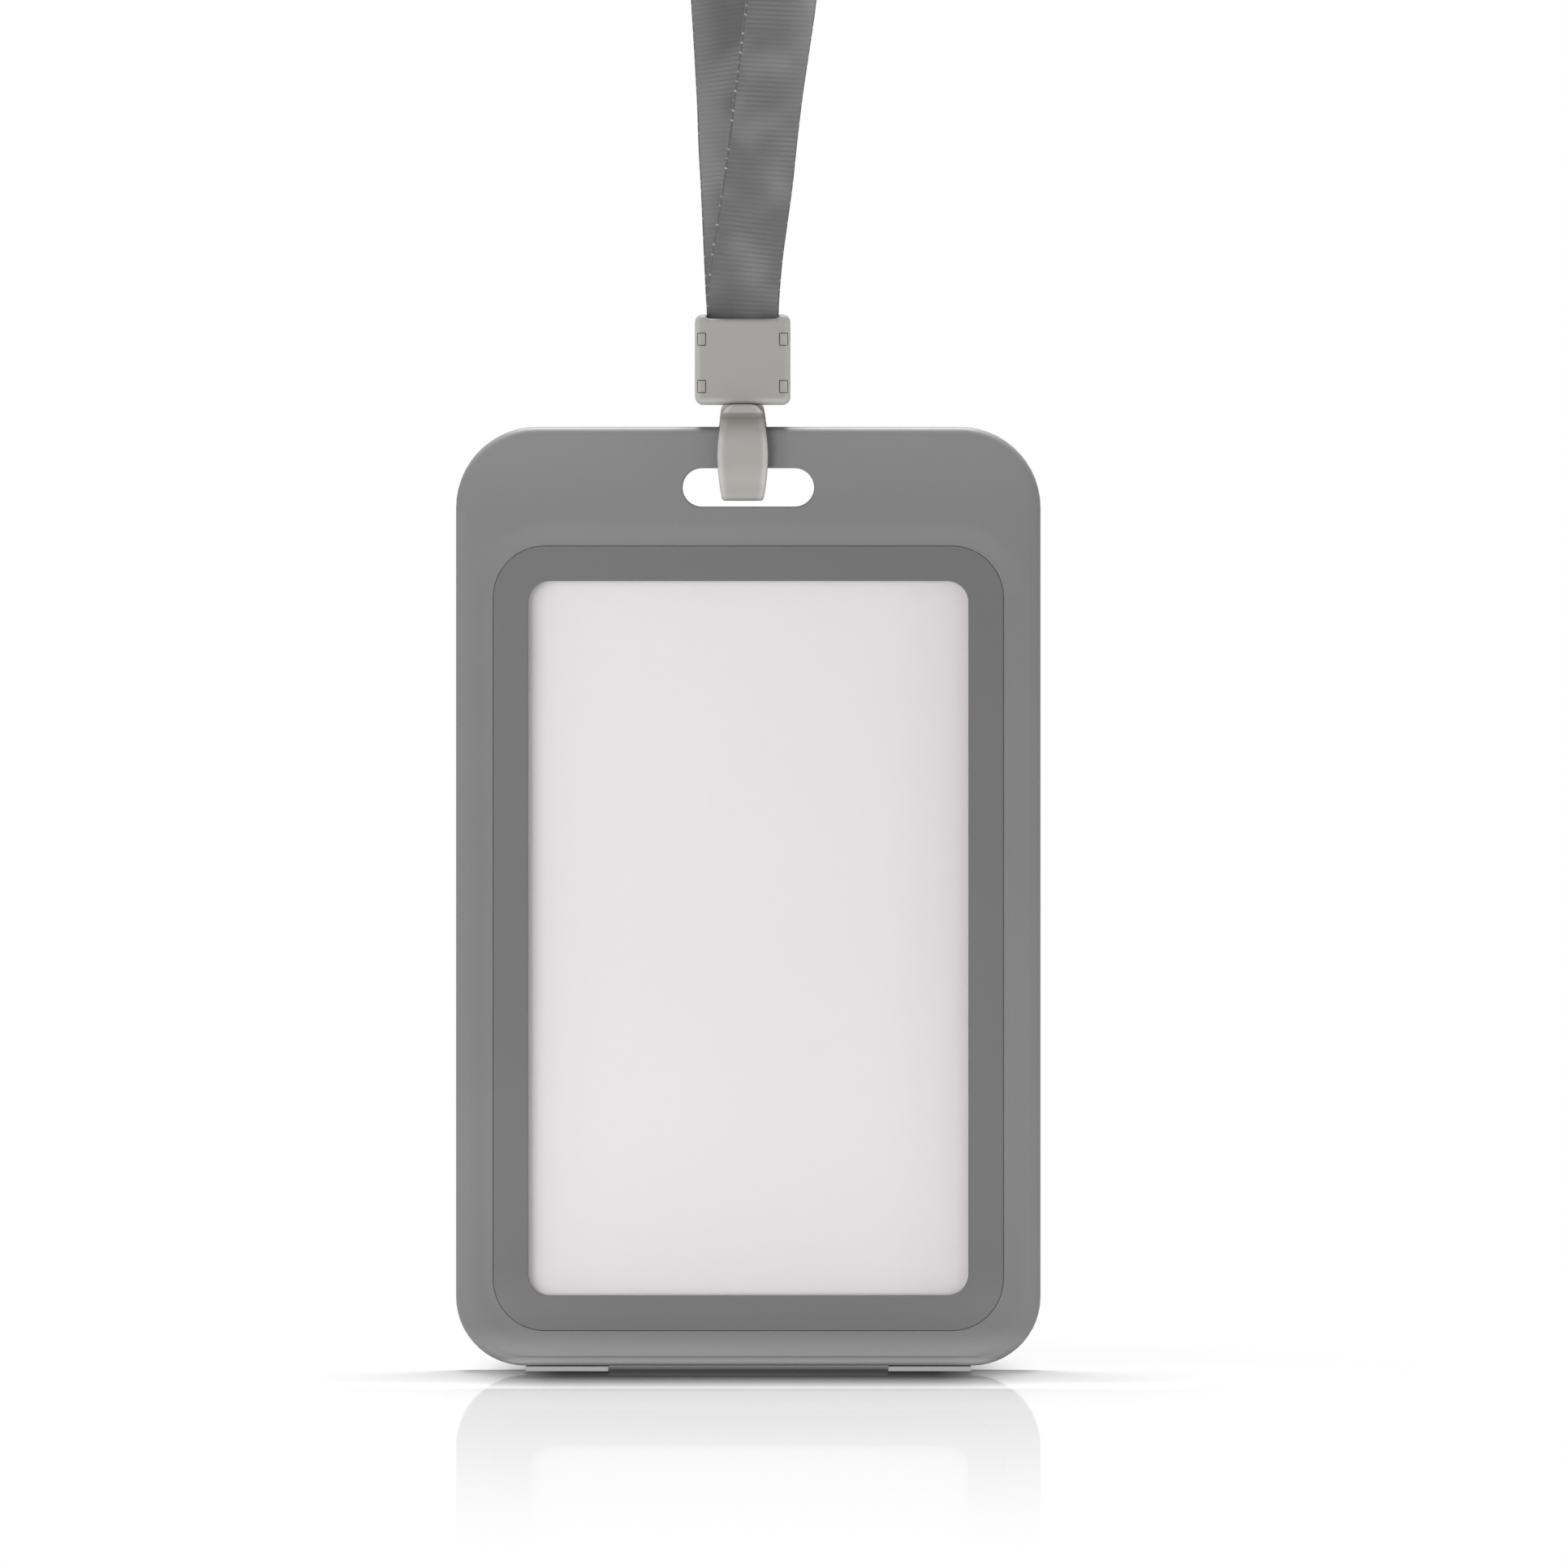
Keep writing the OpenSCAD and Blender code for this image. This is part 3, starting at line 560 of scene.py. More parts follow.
hard_plastic = moulded("clasp_plastic", CLASP_GREY, CLASP_PALE, rough=0.46, grain=4200, depth=0.012 * MM)
across, _, height = hard_plastic.parts(hard_plastic.place())
clasp_z, clasp_tall = (clasp_low.z + clasp_high.z) / 2, (clasp_high.z - clasp_low.z) / 2
# Painted highlight: paler on the rounded edges of both shells, all round
side_lit = (across - clasp_x).size().step(clasp_half - CLASP_LIT_FROM, clasp_half - CLASP_LIT_TO)
end_lit = (height - clasp_z).size().step(clasp_tall - CLASP_LIT_FROM, clasp_tall - CLASP_LIT_TO)
clasp_lit = side_lit.maths("MAXIMUM", side_lit, end_lit)
clasp_finish = surfaced(hard_plastic, clasp_lit.between(hard_plastic.colour, CLASP_EDGE_LIT))
for shell, node in ((clasp_front, "clasp_front"), (clasp_back, "clasp_back")):
    soften(shell)
    shell.data.materials.append(clasp_finish)
    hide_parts(node)
    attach(shell, "clasp")


# Hook and tongue. One moulding of tougher pale plastic: rear leg, bow and shoulder, with a neck
# that turns in the clasp, and a sprung front leg with a thumb lip that closes the hook.
BOW_RADIUS, LEG_THICK, BOW_WALL = 2.4 * MM, 1.9 * MM, 2.95 * MM
BARREL_HALF, BARREL_END_HALF = 2.95 * MM, 2.4 * MM
SHOULDER_THICK, SHOULDER_ROUND, SHOULDER_CREASE = 1.8 * MM, 1.4 * MM, 0.3 * MM
SHOULDER_FRONT = 2.15 * MM
NECK_RADIUS, FLANGE_RADIUS, FLANGE_THICK, FLANGE_BEVEL = 1.6 * MM, 2.6 * MM, 1.1 * MM, 0.3 * MM
HOOK_EDGE, HOOK_CREASE = 0.36 * MM, 0.2 * MM
SEAM_GAP, SEAM_LINE = 0.12 * MM, 0.01 * MM
TIP_RADIUS, TIP_NARROW, TIP_BEVEL = 1.1 * MM, 0.3 * MM, 0.15 * MM
LIP_HIGH, LIP_NOSE, LEAN_HIGH, LEAN_DEEP = 0.95 * MM, 0.3 * MM, 2.7 * MM, 0.85 * MM
BOW_LIT_REACH, TOP_FILL = 1.3 * MM, 0.07 * MM
# Radii of the bends in the tongue's front face, from its tip down
TONGUE_BENDS = (0.2 * MM, 0.12 * MM, 0.25 * MM, 5 * MM)
# Rings on the tongue's face, from there to the seam, on the bow, on a straight run and on a corner
FACE_RINGS, SEAM_RINGS, BOW_RINGS, RUN_RINGS, CORNER_RINGS = 84, 13, 28, 12, 8
# Shares of the painted highlight low on the bow and on the edges, and of the painted shade under the lip
BOW_SHARE, LIGHT_FULL, SHADE_FULL = 0.7, 1.7, 1.2
HOOK_GREY = (0.345, 0.333, 0.313, 1)
HOOK_PALE = (0.37, 0.357, 0.338, 1)
HOOK_EDGE_LIT = (0.56, 0.545, 0.52, 1)
HOOK_SHADE = (0.16, 0.15, 0.137, 1)

hook_low, hook_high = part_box("hook")
tongue_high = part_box("hook_tongue")[1]
hook_x = (hook_low.x + hook_high.x) / 2
hook_foot, hook_top = hook_low.z, tongue_high.z + TOP_FILL
bow_outer = BOW_RADIUS + LEG_THICK
inner_z, outer_z = hook_foot + BOW_WALL + BOW_RADIUS, hook_foot + bow_outer
shoulder_z = hook_top - SHOULDER_THICK
seam_y = -tongue_high.y - SEAM_GAP
barrel_z = (hook_top + hook_foot) / 2
barrel_swell = BARREL_HALF - BARREL_END_HALF
barrel_radius = (((hook_top - hook_foot) / 2) ** 2 + barrel_swell ** 2) / (2 * barrel_swell)


def barrel(z):
    """Half width of the hook at a height: that of a wide arc round the barrel's middle."""
    return BARREL_HALF - barrel_radius + np.sqrt(barrel_radius ** 2 - (z - barrel_z) ** 2)


def tongue_half(z):
    """Half width of the tongue: the barrel's, drawn in evenly from its middle to the tip, whose
    corners are round: half - r + sqrt(r^2 - (r - d)^2) at a distance d below the tip."""
    half = barrel(z) - TIP_NARROW * np.clip((z - barrel_z) / (hook_top - barrel_z), 0, 1)
    below = np.clip(hook_top - z, 0, TIP_RADIUS)
    return half - TIP_RADIUS + np.sqrt(TIP_RADIUS ** 2 - (TIP_RADIUS - below) ** 2)


def arc_run(z, radius, start, end, count, y=0.0):
    """Points centre + radius * (cos a, sin a) from one angle up to, but without, another."""
    a = np.radians(np.linspace(start, end, count, endpoint=False))[:, None]
    return np.array([y, z]) + radius * np.concatenate([np.cos(a), np.sin(a)], 1)


def bent(corners, radii, steps=8):
    """A path of straight runs joined by arcs of the given radii. Each arc is the rational curve
    ((1-k)^2 a + 2 w k (1-k) b + k^2 c) / ((1-k)^2 + 2 w k (1-k) + k^2), w = cos(turn / 2)."""
    p = np.array(corners, float)
    u = unit(np.diff(p, axis=0))
    turn = np.arccos(np.clip((u[:-1] * u[1:]).sum(1), -1, 1))
    reach = (np.array(radii) * np.tan(turn / 2))[:, None]
    a, b, c = (p[1:-1] - u[:-1] * reach)[:, None], p[1:-1, None], (p[1:-1] + u[1:] * reach)[:, None]
    k, w = np.linspace(0, 1, steps)[None, :, None], np.cos(turn / 2)[:, None, None]
    weight = (1 - k) ** 2 + 2 * w * k * (1 - k) + k ** 2
    arcs = ((1 - k) ** 2 * a + 2 * w * k * (1 - k) * b + k ** 2 * c) / weight
    return np.concatenate([p[:1], arcs.reshape(-1, 2), p[-1:]])


def evenly(path, count):
    """Evenly spaced points along a path."""
    along = np.concatenate([[0], np.cumsum(np.linalg.norm(np.diff(path, axis=0), axis=1))])
    return np.stack([np.interp(np.linspace(0, along[-1], count), along, c) for c in path.T], 1)


def moulded_bar(name, inner, outer, half_at, edge_points=6, flat_points=9, rise_points=5):
    """A bar between an inner and an outer path (y, z). Its section is a rectangle as thick as the
    paths are apart and as wide as half_at says at each height, with rounded edges: at an angle a,
    an edge is radius * (1 - cos a) in from the side and radius * (1 - sin a) in from the face."""
    a = np.linspace(0, math.pi / 2, edge_points)
    e, g = 1 - np.cos(a), 1 - np.sin(a)
    one, zero = np.ones_like(a), np.zeros_like(a)
    across, rise = np.linspace(1, -1, flat_points)[1:-1], np.linspace(0, 1, rise_points)[1:-1]
    flat, up = np.ones_like(across), np.ones_like(rise)
    # Columns: side, inset from the side, share of the thickness, inset from the face, outer edge
    parts = [
        (one, e, one, -g, one), (across, flat, flat, 0 * flat, flat), (-one, e[::-1], one, -g[::-1], one),
        (-up, 0 * up, 1 - rise, 2 * rise - 1, up), (-one, e, zero, g, zero),
        (-across, flat, 0 * flat, 0 * flat, 0 * flat), (one, e[::-1], zero, g[::-1], zero),
        (up, 0 * up, rise, 1 - 2 * rise, up)]
    side, inset, share, rim, outside = [np.concatenate(c)[None, :] for c in zip(*parts)]
    thick = np.linalg.norm(outer - inner, axis=1)[:, None]
    radius = outside * HOOK_EDGE + (1 - outside) * HOOK_CREASE
    depth = np.clip(share + rim * radius / thick, 0, 1)
    y, z = (inner[:, None, i] + (outer - inner)[:, None, i] * depth for i in (0, 1))
    x = side * (half_at(z) - radius * inset)
    bar = closed_skin(name, np.stack([x + hook_x, y, z], 2))
    # Painted highlight on its outer edges, from 0 to 1, and painted shade, down to -1, under the lip
    set_back = np.clip((outer[:, :1] + bow_outer) / LEAN_DEEP, 0, 1)
    hollow = set_back * ((outer[:, 1:] < hook_top - LIP_HIGH) & (outer[:, 1:] > outer_z))
    edge = outside * (np.abs(side) == 1) * (inset < 1) * (share == 1)
    painted_light_shade = edge * (1 - hollow) - outside * (share == 1) * hollow
    layer = bar.data.attributes.new("painted_light_shade", "FLOAT", "POINT")
    layer.data.foreach_set("value", painted_light_shade.astype(np.float32).ravel())
    return bar


def seam_angle(radius):
    """Where the seam crosses an arc of the bow, in degrees."""
    return 180 + math.degrees(math.acos(seam_y / radius))


def before_seam(leg, radius, z):
    """The tongue's path (y, z) on one face: down the front leg and round the bow to the seam."""
    seam = seam_angle(radius)
    return np.concatenate([leg, arc_run(z, radius, 180, seam, SEAM_RINGS),
                           arc_run(z, radius, seam, 360, 1) - [SEAM_LINE, 0]])


def behind_seam(radius, z, corner, top):
    """The hook's path (y, z) on one face: from the seam round the bow, up the rear leg, round a
    corner and forward along the shoulder."""
    y, corner_z = radius - corner, top - corner
    return np.concatenate([
        arc_run(z, radius, seam_angle(radius), 360, BOW_RINGS),
        np.linspace((radius, z), (radius, corner_z), RUN_RINGS, endpoint=False),
        arc_run(corner_z, corner, 0, 90, CORNER_RINGS, y),
        np.linspace((y, top), (-SHOULDER_FRONT, top), RUN_RINGS)])


front_face = [(-bow_outer + TIP_BEVEL, hook_top), (-bow_outer, hook_top - TIP_BEVEL),
              (-bow_outer, hook_top - LIP_HIGH), (-bow_outer + LEAN_DEEP, hook_top - LIP_HIGH - LIP_NOSE),
              (-bow_outer, hook_top - LIP_HIGH - LEAN_HIGH), (-bow_outer, outer_z)]
leg_outer = evenly(bent(front_face, TONGUE_BENDS), FACE_RINGS)[:-1]
leg_inner = np.stack([np.full(len(leg_outer), -BOW_RADIUS),
                      np.interp(leg_outer[:, 1], [outer_z, hook_top], [inner_z, hook_top])], 1)
tongue = moulded_bar("tongue", before_seam(leg_inner, BOW_RADIUS, inner_z),
                     before_seam(leg_outer, bow_outer, outer_z), tongue_half)
hook = moulded_bar("hook_body", behind_seam(BOW_RADIUS, inner_z, SHOULDER_CREASE, shoulder_z),
                   behind_seam(bow_outer, outer_z, SHOULDER_ROUND, hook_top), barrel)
flange_low = hook_high.z - FLANGE_THICK
carve(hook, turned(
    "neck", [NECK_RADIUS, NECK_RADIUS, FLANGE_RADIUS, FLANGE_RADIUS, FLANGE_RADIUS - FLANGE_BEVEL],
    [hook_top - SHOULDER_THICK / 2, flange_low, flange_low, hook_high.z - FLANGE_BEVEL, hook_high.z],
    hook_x), operation="UNION")

hook_plastic = moulded("hook_plastic", HOOK_GREY, HOOK_PALE, rough=0.42, grain=3000, depth=0.014 * MM)
# Painted highlight on the outer edges and low round the bow, painted shade in the hollow under the lip
painted_light_shade = hook_plastic.node("ShaderNodeAttribute", {"attribute_name": "painted_light_shade"}, out="Fac")
foot = 1 - hook_plastic.height().step(hook_foot, hook_foot + BOW_LIT_REACH)
hook_lit = (painted_light_shade.step(0, LIGHT_FULL) + foot * BOW_SHARE).between(hook_plastic.colour, HOOK_EDGE_LIT)
hook_finish = surfaced(hook_plastic, (-painted_light_shade).step(0, SHADE_FULL).between(hook_lit, HOOK_SHADE))
for piece, node in ((hook, "hook"), (tongue, "hook_tongue")):
    soften(piece)
    piece.data.materials.append(hook_finish)
    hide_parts(node)
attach(hook, "hook")
inner_z - BOW_RADIUS
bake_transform(tongue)


# Front cover. The outer frame of the holder, moulded in grey plastic with a fine matt surface:
# the head with the hanging slot, a rim that falls softly to the bezel, and the ledge behind it.
COVER_TOP_RADIUS, COVER_LOW_RADIUS = 9.4 * MM, 8 * MM
COVER_ROUND, COVER_BACK_ROUND = 1.0 * MM, 0.5 * MM
CROWN = 0.12 * MM
DISH_WIDE, DISH_DEEP = 2.8 * MM, 0.54 * MM
SEAT_RADIUS, SEAT_LINE = 6.1 * MM, 0.04 * MM
WINDOW_RADIUS = 2.5 * MM
LEDGE_STEP = 0.6 * MM
LEDGE_THICK = 0.8 * MM
POCKET_HALF, POCKET_RADIUS, POCKET_HEAD, POCKET_OVER = 29.2 * MM, 1.5 * MM, 3.9 * MM, 9 * MM
RAIL_WIDE = 1.2 * MM
RAIL_LOW, RAIL_HIGH = 4.11 * MM, 5.06 * MM
RAIL_HEAD = 5.8 * MM
SLOT_HALF, SLOT_HIGH, SLOT_EDGE, SLOT_ROUND = 7.65 * MM, 4.5 * MM, 4.8 * MM, 0.25 * MM
BAND = 3 * MM
RELIEF_HALF, RELIEF_RADIUS, RELIEF_FOOT, RELIEF_OVER = 12 * MM, 3 * MM, 2.2 * MM, 6 * MM
CORE_WALL, CORE_RIB, CORE_DEEP, CORE_RADIUS = 1.6 * MM, 1.2 * MM, 2.2 * MM, 0.3 * MM
SIDE_CORE_WIDE, SIDE_CORE_WALL, SIDE_CORES = 1.2 * MM, 1.1 * MM, 7
HEAD_DROP = COVER_TOP_RADIUS / 2
# Points on the large outlines, and rings on the cover's back edge, front edge and face
FINE = {"arc": 14, "run": 12}
BACK_RINGS, FRONT_RINGS, DISH_RINGS = 4, 7, 12
MATT = {"rough": 0.5, "grain": 3600, "depth": 0.01 * MM, "cloud": 30}
FRAME_GREY = (0.184, 0.184, 0.184, 1)
FRAME_PALE = (0.197, 0.197, 0.197, 1)
# Painted light: paler towards the foot, on the bottom edge's round and on the head
FRAME_FOOT_LIT = (0.34, 0.34, 0.34, 1)
FRAME_EDGE_LIT = (0.58, 0.58, 0.58, 1)
FRAME_HEAD_LIT = (0.218, 0.218, 0.218, 1)
FOOT_LIT_REACH = 5 * MM
EDGE_LIT_FROM, EDGE_LIT_TO = COVER_ROUND / 3, COVER_ROUND

bezel_low, bezel_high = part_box("window_bezel")
pane_low, pane_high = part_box("window_pane")
card_low, card_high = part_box("card_insert")
SEAT_GAP = 0.1 * MM
BEZEL_WIDE = 4.15 * MM
seat_half, seat_low, seat_high = bezel_high.x + SEAT_GAP, bezel_low.z - SEAT_GAP, bezel_high.z + SEAT_GAP
seat_shape = (seat_half, seat_low, seat_high, SEAT_RADIUS, SEAT_RADIUS)
window_shape = (
    seat_half - BEZEL_WIDE, seat_low + BEZEL_WIDE, seat_high - BEZEL_WIDE, WINDOW_RADIUS, WINDOW_RADIUS)
cover_shape = (front_high.x, front_low.z, front_high.z, COVER_LOW_RADIUS, COVER_TOP_RADIUS)
cover_face, cover_back = front_low.y, front_high.y


def cover_blank():
    """The frame before its cuts, as rings that close on themselves: out over the back edge, round
    the front edge, over a crowned face, down the dish to the bezel's seat and out at the window.
    The face is crown * (1 - t)^3 deep, and the dish is deep * t^2 (3 - 2 t) from its rim down."""
    rings = []
    for a in np.linspace(math.pi / 2, 0, BACK_RINGS):
        rings.append((outline(*cover_shape, grow=-COVER_BACK_ROUND * (1 - math.cos(a)), **FINE),
                      cover_back - COVER_BACK_ROUND * (1 - math.sin(a))))
    for a in np.linspace(0, math.pi / 2, FRONT_RINGS):
        rings.append((outline(*cover_shape, grow=-COVER_ROUND * (1 - math.cos(a)), **FINE),
                      cover_face + CROWN + COVER_ROUND * (1 - math.sin(a))))
    edge, dish = rings[-1][0], outline(*seat_shape, grow=DISH_WIDE, **FINE)
    for t in np.linspace(0, 1, DISH_RINGS)[1:]:
        rings.append((edge * (1 - t) + dish * t, cover_face + CROWN * (1 - t) ** 3))
    for m in np.linspace(DISH_WIDE, 0, DISH_RINGS)[1:]:
        t = 1 - m / DISH_WIDE
        rings.append((outline(*seat_shape, grow=m, **FINE), cover_face + DISH_DEEP * t * t * (3 - 2 * t)))
    rings.append((outline(*seat_shape, grow=-SEAT_LINE, **FINE), cover_face + DISH_DEEP + SEAT_LINE))
    rings.append((outline(*seat_shape, grow=-SEAT_LINE, **FINE), pane_high.y))
    rings.append((outline(*window_shape, grow=LEDGE_STEP, **FINE), pane_high.y))
    rings.append((outline(*window_shape, grow=LEDGE_STEP, **FINE), cover_back))
    return closed_skin("frame", stacked(rings), looped=True)


pocket_top = card_high.z + POCKET_HEAD
pocket_depth = pane_high.y + LEDGE_THICK
slot_middle = front_high.z - SLOT_EDGE - SLOT_HIGH / 2
slot_low, slot_high = slot_middle - SLOT_HIGH / 2, slot_middle + SLOT_HIGH / 2
slot_shape = (SLOT_HALF, slot_low, slot_high, SLOT_HIGH / 2, SLOT_HIGH / 2)
relief_foot = slot_low - RELIEF_FOOT


def side_hollows():
    """Seven hollows in each side wall, one every pitch, with a rib between them."""
    low = front_low.z + COVER_LOW_RADIUS + CORE_WALL
    pitch = (pocket_top - low) / SIDE_CORES
    half = SIDE_CORE_WIDE / 2
    middle = front_high.x - SIDE_CORE_WALL - half
    return [block("hollow", (side * middle - half, pocket_depth, foot),
                  (side * middle + half, cover_back + OVER, foot + pitch - CORE_RIB))
            for side in (-1, 1) for foot in low + np.arange(SIDE_CORES) * pitch]


def head_hollows():
    """Two hollows on each side of the head, the outer one lower where the corner turns."""
    inner = RELIEF_HALF + CORE_WALL
    wide = (front_high.x - CORE_WALL - inner - CORE_RIB) / 2
    low, high = pocket_top + CORE_WALL, front_high.z - CORE_WALL
    return [plug("hollow", cover_face + CORE_DEEP, cover_back + OVER,
                 wide / 2, low, high - i * HEAD_DROP, CORE_RADIUS, CORE_RADIUS,
                 middle=side * (inner + wide / 2 + i * (wide + CORE_RIB)), **COARSE)
            for side in (-1, 1) for i in (0, 1)]


frame_piece = cover_blank()
carve(
    frame_piece,
    plug("pocket", pocket_depth, cover_back + OVER, POCKET_HALF, front_low.z - POCKET_OVER, pocket_top,
         POCKET_RADIUS, POCKET_RADIUS),
    block("rails", (-POCKET_HALF - RAIL_WIDE, cover_face + RAIL_LOW, front_low.z - OVER),
          (POCKET_HALF + RAIL_WIDE, cover_face + RAIL_HIGH, pocket_top - RAIL_HEAD)),
    plug("relief", cover_face + BAND, cover_back + OVER, RELIEF_HALF, relief_foot,
         front_high.z + RELIEF_OVER, RELIEF_RADIUS, RELIEF_RADIUS),
    plug("slot", cover_face, cover_face + BAND, *slot_shape, edge_near=SLOT_ROUND, edge_far=SLOT_ROUND),
    *head_hollows(),
    *side_hollows(),
)
soften(frame_piece)
matt = moulded("frame_plastic", FRAME_GREY, FRAME_PALE, **MATT)
height = matt.height()
# Painted light: paler towards the foot, palest on the bottom edge, and paler on the head
above_foot = height.step(front_low.z, front_low.z + FOOT_LIT_REACH)
above_edge = height.step(front_low.z + EDGE_LIT_FROM, front_low.z + EDGE_LIT_TO)
at_head = height.step(seat_high + DISH_WIDE, front_high.z)
tone = above_foot.between(FRAME_FOOT_LIT, at_head.between(matt.colour, FRAME_HEAD_LIT))
frame_piece.data.materials.append(surfaced(matt, above_edge.between(FRAME_EDGE_LIT, tone)))
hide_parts("front_cover")
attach(frame_piece, "holder")


# Window bezel. A darker inner frame of the same plastic, pressed into the cover's seat, which
# holds the pane against the ledge. A fine joint shows round it and its window edge is rounded.
BEZEL_EDGE, BEZEL_GAP = 0.07 * MM, 0.075 * MM
WINDOW_ROUND = 0.16 * MM
JOINT_RINGS, WINDOW_RINGS = 4, 5
BAR_LIT_FROM, BAR_LIT_TO = BEZEL_WIDE / 2, 2 * BEZEL_WIDE
BEZEL_GREY = (0.14, 0.14, 0.14, 1)
BEZEL_PALE = (0.149, 0.149, 0.149, 1)
BEZEL_LOW_LIT = (0.17, 0.17, 0.17, 1)


def bezel_ring():
    """Rings round the bezel's section: a flat face between a small round at its outer edge and
    one at the window, each edge * (1 - cos a) across and edge * (1 - sin a) deep."""
    face, back = bezel_low.y, bezel_high.y
    rings = [(outline(*seat_shape, grow=-BEZEL_GAP, **FINE), back)]
    for a in np.linspace(0, math.pi / 2, JOINT_RINGS):
        rings.append((outline(*seat_shape, grow=-BEZEL_GAP - BEZEL_EDGE * (1 - math.cos(a)), **FINE),
                      face + BEZEL_EDGE * (1 - math.sin(a))))
    for a in np.linspace(math.pi / 2, 0, WINDOW_RINGS):
        rings.append((outline(*window_shape, grow=WINDOW_ROUND * (1 - math.cos(a)), **FINE),
                      face + WINDOW_ROUND * (1 - math.sin(a))))
    rings.append((outline(*window_shape, **FINE), back))
    return closed_skin("bezel", stacked(rings), looped=True)


bezel = bezel_ring()
soften(bezel)
dark = moulded("bezel_plastic", BEZEL_GREY, BEZEL_PALE, **MATT)
# Painted light: the bottom bar is paler, fading out above it
above_bar = dark.height().step(bezel_low.z + BAR_LIT_FROM, bezel_low.z + BAR_LIT_TO)
bezel.data.materials.append(surfaced(dark, above_bar.between(BEZEL_LOW_LIT, dark.colour)))
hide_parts("window_bezel")
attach(bezel, "holder")


# Pane. A clear acrylic sheet between the bezel and the ledge, glossy on both faces.
# It is cut from sheet stock and held by nothing but the bezel.
PANE_RADIUS, PANE_EDGE = 5.75 * MM, 0.06 * MM
WHITE = (1, 1, 1, 1)
PANE_TINT = (0.985, 0.985, 0.985, 1)
PANE_ROUGH, ACRYLIC_IOR = 0.06, 1.49
WAVE_SCALE, WAVE_DEPTH = 40, 0.02 * MM


def plate(name, low, high, radius, edge, **more):
    """A flat sheet with round corners and both of its edges rounded by a quarter circle."""
    shape = ((high.x - low.x) / 2, low.z, high.z, radius, radius)
    rounds = [(outline(*shape, grow=-edge * (1 - math.sin(a)), **more), edge * (1 - math.cos(a)))
              for a in np.linspace(0, math.pi / 2, ROUND_RINGS)]
    rings = [(ring, low.y + depth) for ring, depth in rounds]
    rings += [(ring, high.y - depth) for ring, depth in rounds[::-1]]
    return closed_skin(name, stacked(rings))


pane = plate("pane", pane_low, pane_high, PANE_RADIUS, PANE_EDGE, **FINE)
soften(pane)
clear = Finish("clear_pane")
wave = clear.bump(clear.noise(clear.place(), WAVE_SCALE, 1), WAVE_DEPTH)
shine = clear.node("ShaderNodeBsdfGlossy", sockets={
    "Color": WHITE, "Roughness": PANE_ROUGH, "Normal": wave})
through = clear.node("ShaderNodeBsdfTransparent", sockets={"Color": PANE_TINT})
behind = clear.node("ShaderNodeNewGeometry", out="Backfacing")
share = clear.node("ShaderNodeFresnel", sockets={"IOR": ACRYLIC_IOR}) * (1 - behind)
pane.data.materials.append(clear.done(clear.mixed(share, through, shine)))
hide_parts("window_pane")
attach(pane, "holder")


# Card. A blank white identity card of PVC, punched from laminated sheet, with a satin surface.
# It lies behind the pane in the tray's fence and is pressed forward by the tray's two fingers.
CARD_RADIUS, CARD_EDGE = 3.2 * MM, 0.1 * MM
CARD_WHITE = (0.81, 0.777, 0.785, 1)
CARD_SHADE = (0.795, 0.762, 0.77, 1)
card = plate("card", card_low, card_high, CARD_RADIUS, CARD_EDGE)
soften(card)
blank = moulded("blank_card", CARD_SHADE, CARD_WHITE, rough=0.38, grain=1800, depth=0.004 * MM, cloud=12)
card.data.materials.append(surfaced(blank, blank.colour))
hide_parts("card_insert")
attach(card, "tray")


# Back tray. The sliding back of the holder, moulded in the frame's plastic. Its two finger
# catches under the bottom edge are thin, and painted paler as a painted highlight.
CATCH_LIT = (0.54, 0.54, 0.54, 1)
CATCH_FROM, CATCH_TO = -0.1 * MM, 0.3 * MM
TRAY_EDGE, WELD = 0.12 * MM, 0.002 * MM
FLAT_ANGLE, EDGE_ANGLE = 1, 40

tray = bpy.data.objects.new("sliding_back", frame["nodes"]["back_tray"].data.copy())
bpy.context.collection.objects.link(tray)
shell = bmesh.new()
shell.from_mesh(tray.data)
bmesh.ops.remove_doubles(shell, verts=shell.verts, dist=WELD)
bmesh.ops.dissolve_limit(
    shell, angle_limit=math.radians(FLAT_ANGLE), verts=shell.verts, edges=shell.edges)
shell.to_mesh(tray.data)
shell.free()
edges = tray.modifiers.new("edges", "BEVEL")
edges.width, edges.segments = TRAY_EDGE, 2
edges.limit_method, edges.angle_limit = "ANGLE", math.radians(EDGE_ANGLE)
settle(tray)
soften(tray)
tray_matt = moulded("tray_plastic", FRAME_GREY, FRAME_PALE, **MATT)
# Painted highlight on the finger catches below the cover's bottom edge
catch = 1 - tray_matt.height().step(front_low.z + CATCH_FROM, front_low.z + CATCH_TO)
tray.data.materials.clear()
tray.data.materials.append(surfaced(tray_matt, catch.between(tray_matt.colour, CATCH_LIT)))
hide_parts("back_tray")
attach(tray, "tray")


# Studio. A plain white floor and surround, a soft lamp high behind that draws the shadow forward,
# a key lamp and small lamps at both sides and at the foot. The floor keeps the holder's shadow,
# has a painted shadow round its foot, and mirrors its foot, less so from above.
FLOOR_SIZE, FLOOR_ROUGH = 12.0, 0.03
GLOSS_NEAR, GLOSS_REACH = 0.315, 0.38
SHADOW_NEAR, SHADOW_REACH = 0.06, 0.1
FLOOR_WHITE = (0.6, 0.6, 0.6, 1)
PAINTED_SHADOW_GREY = (0.03, 0.03, 0.03, 1)
FOOT_HALF, FOOT_SOFT, FOOT_NEAR, FOOT_REACH = 0.021, 0.013, 0.002, 0.054
FOOT_DULL = 0.85
BOUNCE = 0.65
AMBIENT = 0.2

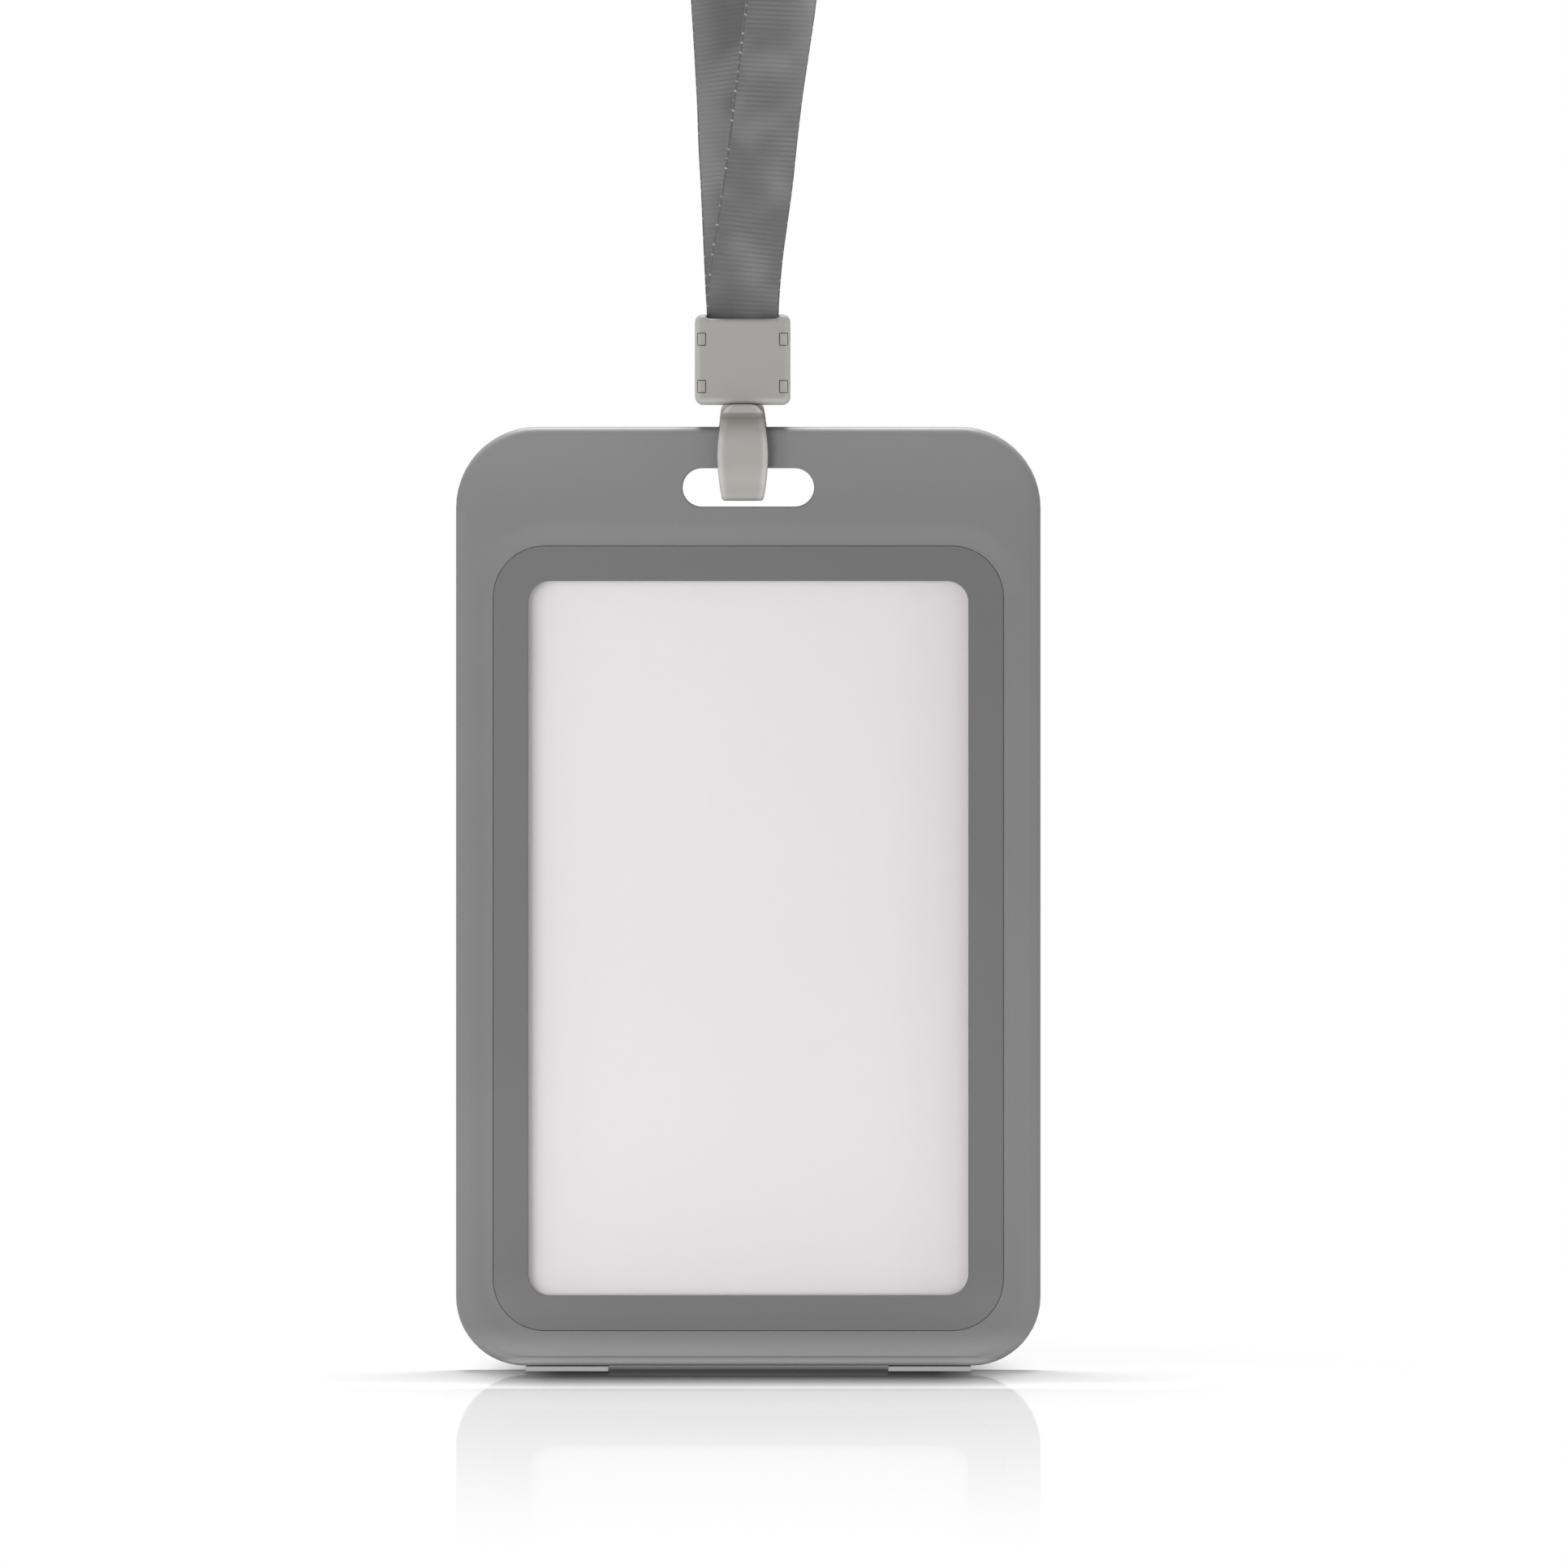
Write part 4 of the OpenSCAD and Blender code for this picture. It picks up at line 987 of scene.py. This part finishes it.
x = np.array([-1, 1, 1, -1]) * FLOOR_SIZE / 2
y = np.array([-1, -1, 1, 1]) * FLOOR_SIZE / 2
floor_mesh = bpy.data.meshes.new("floor")
floor_mesh.from_pydata(np.stack([x, y, np.full(4, floor_z)], 1).tolist(), [], [(0, 1, 2, 3)])
floor = bpy.data.objects.new("floor", floor_mesh)
bpy.context.collection.objects.link(floor)
paper = Finish("floor_white")
px, py, _ = paper.parts(paper.place())
distance = (px * px + py * py) ** 0.5
# A painted shadow on the floor, darkest right under and in front of the holder's foot
beside = px.size().step(FOOT_HALF, FOOT_HALF + FOOT_SOFT)
before = py.size().step(FOOT_NEAR, FOOT_REACH)
painted_shadow = (1 - beside) * (1 - before)
grazing = paper.node("ShaderNodeLayerWeight", sockets={"Blend": 0.5}, out="Facing")
gloss = (1 - distance.step(0, GLOSS_REACH)) * (1 - painted_shadow * FOOT_DULL) * grazing * GLOSS_NEAR
matt_white = paper.node("ShaderNodeBsdfDiffuse", sockets={"Color": painted_shadow.between(FLOOR_WHITE, PAINTED_SHADOW_GREY)})
blank_white = paper.node("ShaderNodeEmission", sockets={"Color": WHITE, "Strength": 1.0})
eye = paper.node("ShaderNodeLightPath", out="Is Camera Ray")
far = distance.step(SHADOW_NEAR, SHADOW_REACH) * eye.between(BOUNCE, 1)
mirror = paper.node("ShaderNodeBsdfGlossy", sockets={"Color": WHITE, "Roughness": FLOOR_ROUGH})
floor_mesh.materials.append(paper.done(
    paper.mixed(gloss, paper.mixed(far, matt_white, blank_white), mirror)))
# The floor stays under the holder's foot, also when the tray is drawn down
lowered = floor.constraints.new("COPY_LOCATION")
lowered.target = frame["bodies"]["tray"]
lowered.use_x = lowered.use_y = False

world = bpy.data.worlds.new("surround")
bpy.context.scene.world = world
world.use_nodes = True
sky = Finish("surround", world.node_tree)
seen = sum(sky.node("ShaderNodeLightPath", out=ray)
           for ray in ("Is Camera Ray", "Is Glossy Ray", "Is Transmission Ray"))
dim = sky.node("ShaderNodeBackground", sockets={"Color": WHITE, "Strength": AMBIENT})
bright = sky.node("ShaderNodeBackground", sockets={"Color": WHITE, "Strength": 1.0})
sky.done(sky.mixed(seen, dim, bright), "ShaderNodeOutputWorld")


def soft_lamp(name, place, size, power, aim, mirrored):
    """An area lamp at a place that faces another one, mirrored in glossy surfaces or not."""
    data = bpy.data.lights.new(name, "AREA")
    data.shape = "RECTANGLE"
    data.size, data.size_y = size
    data.energy = power
    lamp = bpy.data.objects.new(name, data)
    lamp.location = place
    lamp.rotation_euler = (Vector(aim) - lamp.location).to_track_quat("-Z", "Y").to_euler()
    lamp.visible_glossy = mirrored
    bpy.context.collection.objects.link(lamp)


heart = (0, 0, (front_low.z + front_high.z) / 2)
low_z = floor_z + 7 * MM
# Each lamp's place, its width and height in metres, its power in watts, and what it faces.
# Glossy surfaces mirror only the top one.
LAMPS = {
    "key_front": ((-0.13, -0.42, -0.115), (0.12, 0.1), 0.62, heart),
    "near_left": ((-0.12, -0.15, -0.09), (0.05, 0.05), 0.05, heart),
    "side_left": ((-0.35, -0.1, -0.13), (0.06, 0.14), 0.06, heart),
    "side_right": ((0.35, -0.1, -0.13), (0.06, 0.14), 0.2, heart),
    "low_front": ((0, -0.045, low_z), (0.1, 0.005), 0.008, (0, 0, low_z)),
    "top_back": ((0, 0.34, 1.2), (0.6, 0.57), 30, (0, 0.34, 0)),
}
for name, (place, size, power, aim) in LAMPS.items():
    soft_lamp(name, place, size, power, aim, mirrored=name == "top_back")
